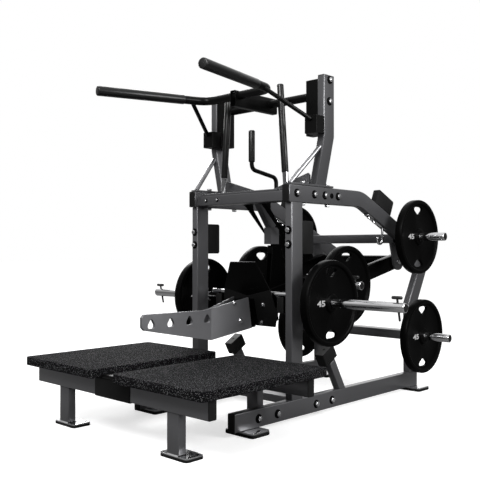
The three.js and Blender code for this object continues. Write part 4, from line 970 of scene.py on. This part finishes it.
yoke = {"half": 296, "tall": 90, "inner": 255, "wide": 45, "stubFront": 80, "join": 151,
        "stubZ": (545, 630), "cheek": (47, 57), "web": (64, 72),
        "carryDia": 30, "carryY": 98, "carryZ": 643.5,
        "cheekOutline": [(78, 633), (192, 656), (260, 580), (269, 482), (192, 460), (108, 465)],
        "webOutline": [(78, 640), (88, 600), (151, 585), (151, 632), (66, 700)]}
boom = {"half": 49, "wall": 3, "corner": 5, "front": -1076, "z": (-104, 34)}
hood = {"front": -1075, "thick": 8, "corner": 4, "fold": (0, 49), "shoulder": (172, 88),
        "top": (95, 241), "hip": (200, -39), "foot": (173, -120), "bolts": ((109, 3), (77, -99))}
yokeY = (-hornRun - yoke["tall"] / 2, -hornRun + yoke["tall"] / 2)
yokeShells = [
    tilted(tubeBar("x", (-yoke["half"], yoke["half"]), yokeY, (-yoke["tall"] / 2, yoke["tall"] / 2))),
    tilted(openTube((-boom["half"], boom["half"]), boom["z"], boom["front"], yokeY[0] + 1, boom["wall"],
                    boom["corner"], "y")),
    boomNose()]
stubCaps = []
for sign in (-1, 1):
    yokeShells.append(thinPlate(yoke["cheekOutline"], spanOf(sign, *yoke["cheek"]), 1.5))
    yokeShells.append(thinPlate(yoke["webOutline"], spanOf(sign, *yoke["web"])))
    stubX = spanOf(sign, yoke["inner"] - yoke["wide"], yoke["inner"])
    yokeShells.append(tubeBar("y", (yoke["stubFront"], yoke["join"]), stubX, yoke["stubZ"]))
    stubCaps.append(endCap("y", yoke["stubFront"], -1, stubX, yoke["stubZ"]))
piece("arm_yoke_tube", yokeShells, "armBlack", ["arm_yoke"], "arm")
# The hood's front is one flat plate split at the fold into two panels; the lower one is painted lighter as
# painted light on that half, the upper one keeps the arm's black
for name, look, half in (("upper", "armBlack", ("shoulder", "top")),
                         ("lower", "hoodLitBlack", ("shoulder", "hip", "foot"))):
    right = [hood[spot] for spot in half]
    outline = [hood["fold"]] + right + [(-x, z) for x, z in right[::-1]]
    panel = slab(rounded(outline, hood["corner"]), hood["front"], hood["front"] + hood["thick"], axis="y")
    piece("arm_hood_" + name + "_panel", [tilted(panel)], look, body="arm")
piece("arm_stub_caps", stubCaps, "plastic", body="arm")
carryBar = [(x, yoke["carryY"], yoke["carryZ"]) for x in (-yoke["half"], yoke["half"])]
piece("arm_carry_bar_chrome", [roundBar(carryBar, yoke["carryDia"], count=40)], "chrome", body="arm")

armHorns = {"front": {"along": -hornRun, "end": 923, "face": 498},
            "rear": {"along": -600, "end": 436, "face": 349}}
carrier = 300.0  # half the width of the arm under the horns
pin = {"dia": 11, "long": 118, "handleDia": 17, "handleLong": 56, "fromEnd": 42, "above": 16}
for spot, armHorn in armHorns.items():
    chromeShells, blackShells = [], []
    along, end = armHorn["along"], armHorn["end"]
    seat = armHorn["face"] - horn["plate"] - gap
    collarFrom = max(seat - horn["collarThick"], carrier + gap)
    top = horn["radius"] + pin["above"] + pin["handleDia"] / 2
    for name, sign in sideSigns.items():
        sleeve, collar, cap = hornParts(hornKinds["arm"], sign, (0, along, 0), -1, end, collarFrom, seat)
        chromeShells += [tilted(sleeve), tilted(collar)]
        blackShells.append(tilted(cap))
        x = sign * (end - pin["fromEnd"])
        half = pin["handleLong"] / 2
        stem = roundBar([(x, along, top), (x, along, top - pin["long"])], pin["dia"], edge=3, count=24)
        tee = roundBar([(x - half, along, top), (x + half, along, top)], pin["handleDia"], edge=4, count=24)
        node = name + "_" + spot + "_horn_pin"
        piece(name + "_" + spot + "_pin_steel", [tilted(stem), tilted(tee)], "pinBlack", [node], node)
    piece(spot + "_horn_chrome", chromeShells, "chrome", [spot + "_horn_bar"], "arm")
    piece(spot + "_horn_caps", blackShells, "plastic", body="arm")
armWashers, armHeads = [], []
lean = belt["spread"] / (belt["to"] - belt["from"])
for sign in (-1, 1):
    spots = [((sign * (belt["boltX"] + lean * (y - belt["from"])), y, z), (sign, -lean, 0))
             for y, z in belt["bolts"]]
    spots += [(onArm([sign * x, hood["front"], z]), (0, -cos(armTilt), -sin(armTilt)))
              for x, z in hood["bolts"]]
    discs, tops = bolts(spots, washer=13, hexHalf=9, headTall=7)
    armWashers.extend(discs)
    armHeads.extend(tops)
piece("arm_bolt_washers", armWashers, "steel", body="arm")
piece("arm_bolt_heads", armHeads, "steel", body="arm")
print("arm built")

# Start lever and catch
lever = {"rod": 24, "bend": 34, "gripDia": 36, "grip": [(0, 106, 1373), (0, 106, 1551)],
         "path": [(0, 106, 1533), (0, 106, 1333), (0, 315, 1299), (0, 315, 1182), (0, 180, 1160)],
         "hub": (0, 165, 1160),
         "collar": [(10.4, -56), (18.8, -56), (20, -54.8), (20, 54.8), (18.8, 56), (10.4, 56)]}
shells = [roundBar(lever["path"], lever["rod"], lever["bend"], 1.0, 28, (1, 0, 0)),
          turned(lever["collar"], lever["hub"], (1, 0, 0), 48, True)]
piece("start_lever_rod", shells, "blackPaint", ["start_lever"], "start_lever")
piece("lever_grip_rubber", [roundBar(lever["grip"], lever["gripDia"], edge=6, count=40)], "gripRubber",
      ["lever_grip"], "start_lever")
refined("catch_box", "greyPaint", "start_lever", edge=1.0)
print("lever built")

piece("frame_bolt_washers", washers, "washerBlackAndHoleShade")
piece("frame_bolt_heads", heads, "steel")
piece("side_tube_plugs", plugs, "washerBlackAndHoleShade")

# Weight plates
plate = {"radius": 225, "half": 22.5, "web": 8, "rim": 24, "hub": 48, "bore": 25.5,
         "gripAt": 160, "gripWide": 100, "gripTall": 46, "gripCorner": 9,
         "softening": 2.5, "softFrom": 50,
         "number": "45", "numberTall": 31, "numberWide": 66, "numberAt": 84, "numberLift": 0.4,
         "letterSize": 1.4, "raised": 0.8, "fattened": 1.2}
gripShares = [(-0.15, -0.5), (0.15, -0.5), (0.5, 0.1), (0.45, 0.4), (0.25, 0.5), (-0.25, 0.5), (-0.45, 0.4),
              (-0.5, 0.1)]


# Radius and height of the section: bore, raised hub, dished web and raised rim, then the same mirrored
def plateProfile():
    half, web, bore, hub, radius = [plate[key] for key in ("half", "web", "bore", "hub", "radius")]
    inRim = radius - plate["rim"]
    faceSide = [(bore, half - 2), (bore + 2, half), (hub - 6, half), (hub, half - 3), (hub + 4, web + 2),
                (hub + 10, web), (inRim - 12, web), (inRim - 5, web + 2), (inRim, half - 3),
                (inRim + 5, half), (radius - 7, half), (radius - 2, half - 2), (radius, half - 7)]
    return faceSide + [(r, -h) for r, h in faceSide[::-1]]


# The mesh of an object once its modifiers or its letters are worked out
def worked(made):
    bpy.context.view_layer.update()
    return bpy.data.meshes.new_from_object(made.evaluated_get(bpy.context.evaluated_depsgraph_get()))


cutter = []
for way in (1, -1):
    outline = [(u * plate["gripWide"], way * (plate["gripAt"] + v * plate["gripTall"]))
               for u, v in gripShares]
    cutter.append(slab(rounded(outline, plate["gripCorner"], 5), -60, 60, 1.0, 2, "x"))
cutPoints, cutFaces = together(cutter)
platePoints, plateFaces = turned(plateProfile(), (0, 0, 0), (1, 0, 0), 96, True)
cutObject = shown("grip_cutter", meshOf("grip_cutter", cutPoints / 1000, cutFaces))
blank = shown("plate_blank", meshOf("plate_blank", platePoints / 1000, plateFaces))
opening = blank.modifiers.new("grips", "BOOLEAN")
opening.object = cutObject
opening.operation = "DIFFERENCE"
opening.solver = "EXACT"
softening = blank.modifiers.new("softening", "BEVEL")
softening.width = plate["softening"] / 1000
softening.segments = 3
softening.limit_method = "ANGLE"
softening.angle_limit = radians(plate["softFrom"])
masterPlate = worked(blank)
bpy.data.objects.remove(cutObject)
bpy.data.objects.remove(blank)

curve = bpy.data.curves.new("number", "FONT")
curve.body = plate["number"]
curve.size = plate["numberTall"] / 1000 * plate["letterSize"]
curve.align_x = "CENTER"
curve.align_y = "CENTER"
curve.extrude = plate["raised"] / 1000
curve.offset = plate["fattened"] / 1000
holder = shown("number", curve)
number = worked(holder)
bpy.data.objects.remove(holder)
across, up, raised = (cornersOf(number) * 1000).T
across *= plate["numberWide"] / np.ptp(across)
up *= plate["numberTall"] / np.ptp(up)
numberFaces = [np.array([polygon.vertices[:]]) for polygon in number.polygons]

plateSpots = {}
for name, sign in sideSigns.items():
    for kind in ("upper", "lower"):
        plateSpots[name + "_" + kind + "_storage_plate"] = (sign * (storage["face"] - plate["half"]),
                                                            *storage[kind])
    for kind, armHorn in armHorns.items():
        at = onArm([sign * (armHorn["face"] - plate["half"]), armHorn["along"], 0])
        plateSpots[name + "_" + kind + "_arm_plate"] = tuple(at)
for node, spot in plateSpots.items():
    mesh = masterPlate.copy()
    mesh.vertices.foreach_set("co", (cornersOf(mesh) + place(spot)).ravel())
    mesh.update()
    dress(node + "_urethane", mesh, "plateBlack", node, [node], edges["plate"])
    shells = []
    for way in (-1, 1):
        out = plate["web"] + plate["numberLift"] + raised
        points = np.stack([way * out, way * (across - plate["numberAt"]), up], 1)
        shells.append((points + spot, numberFaces))
    piece(node + "_number", shells, "numberPaint", body=node)
print("weight plates built")
print("scene finished")
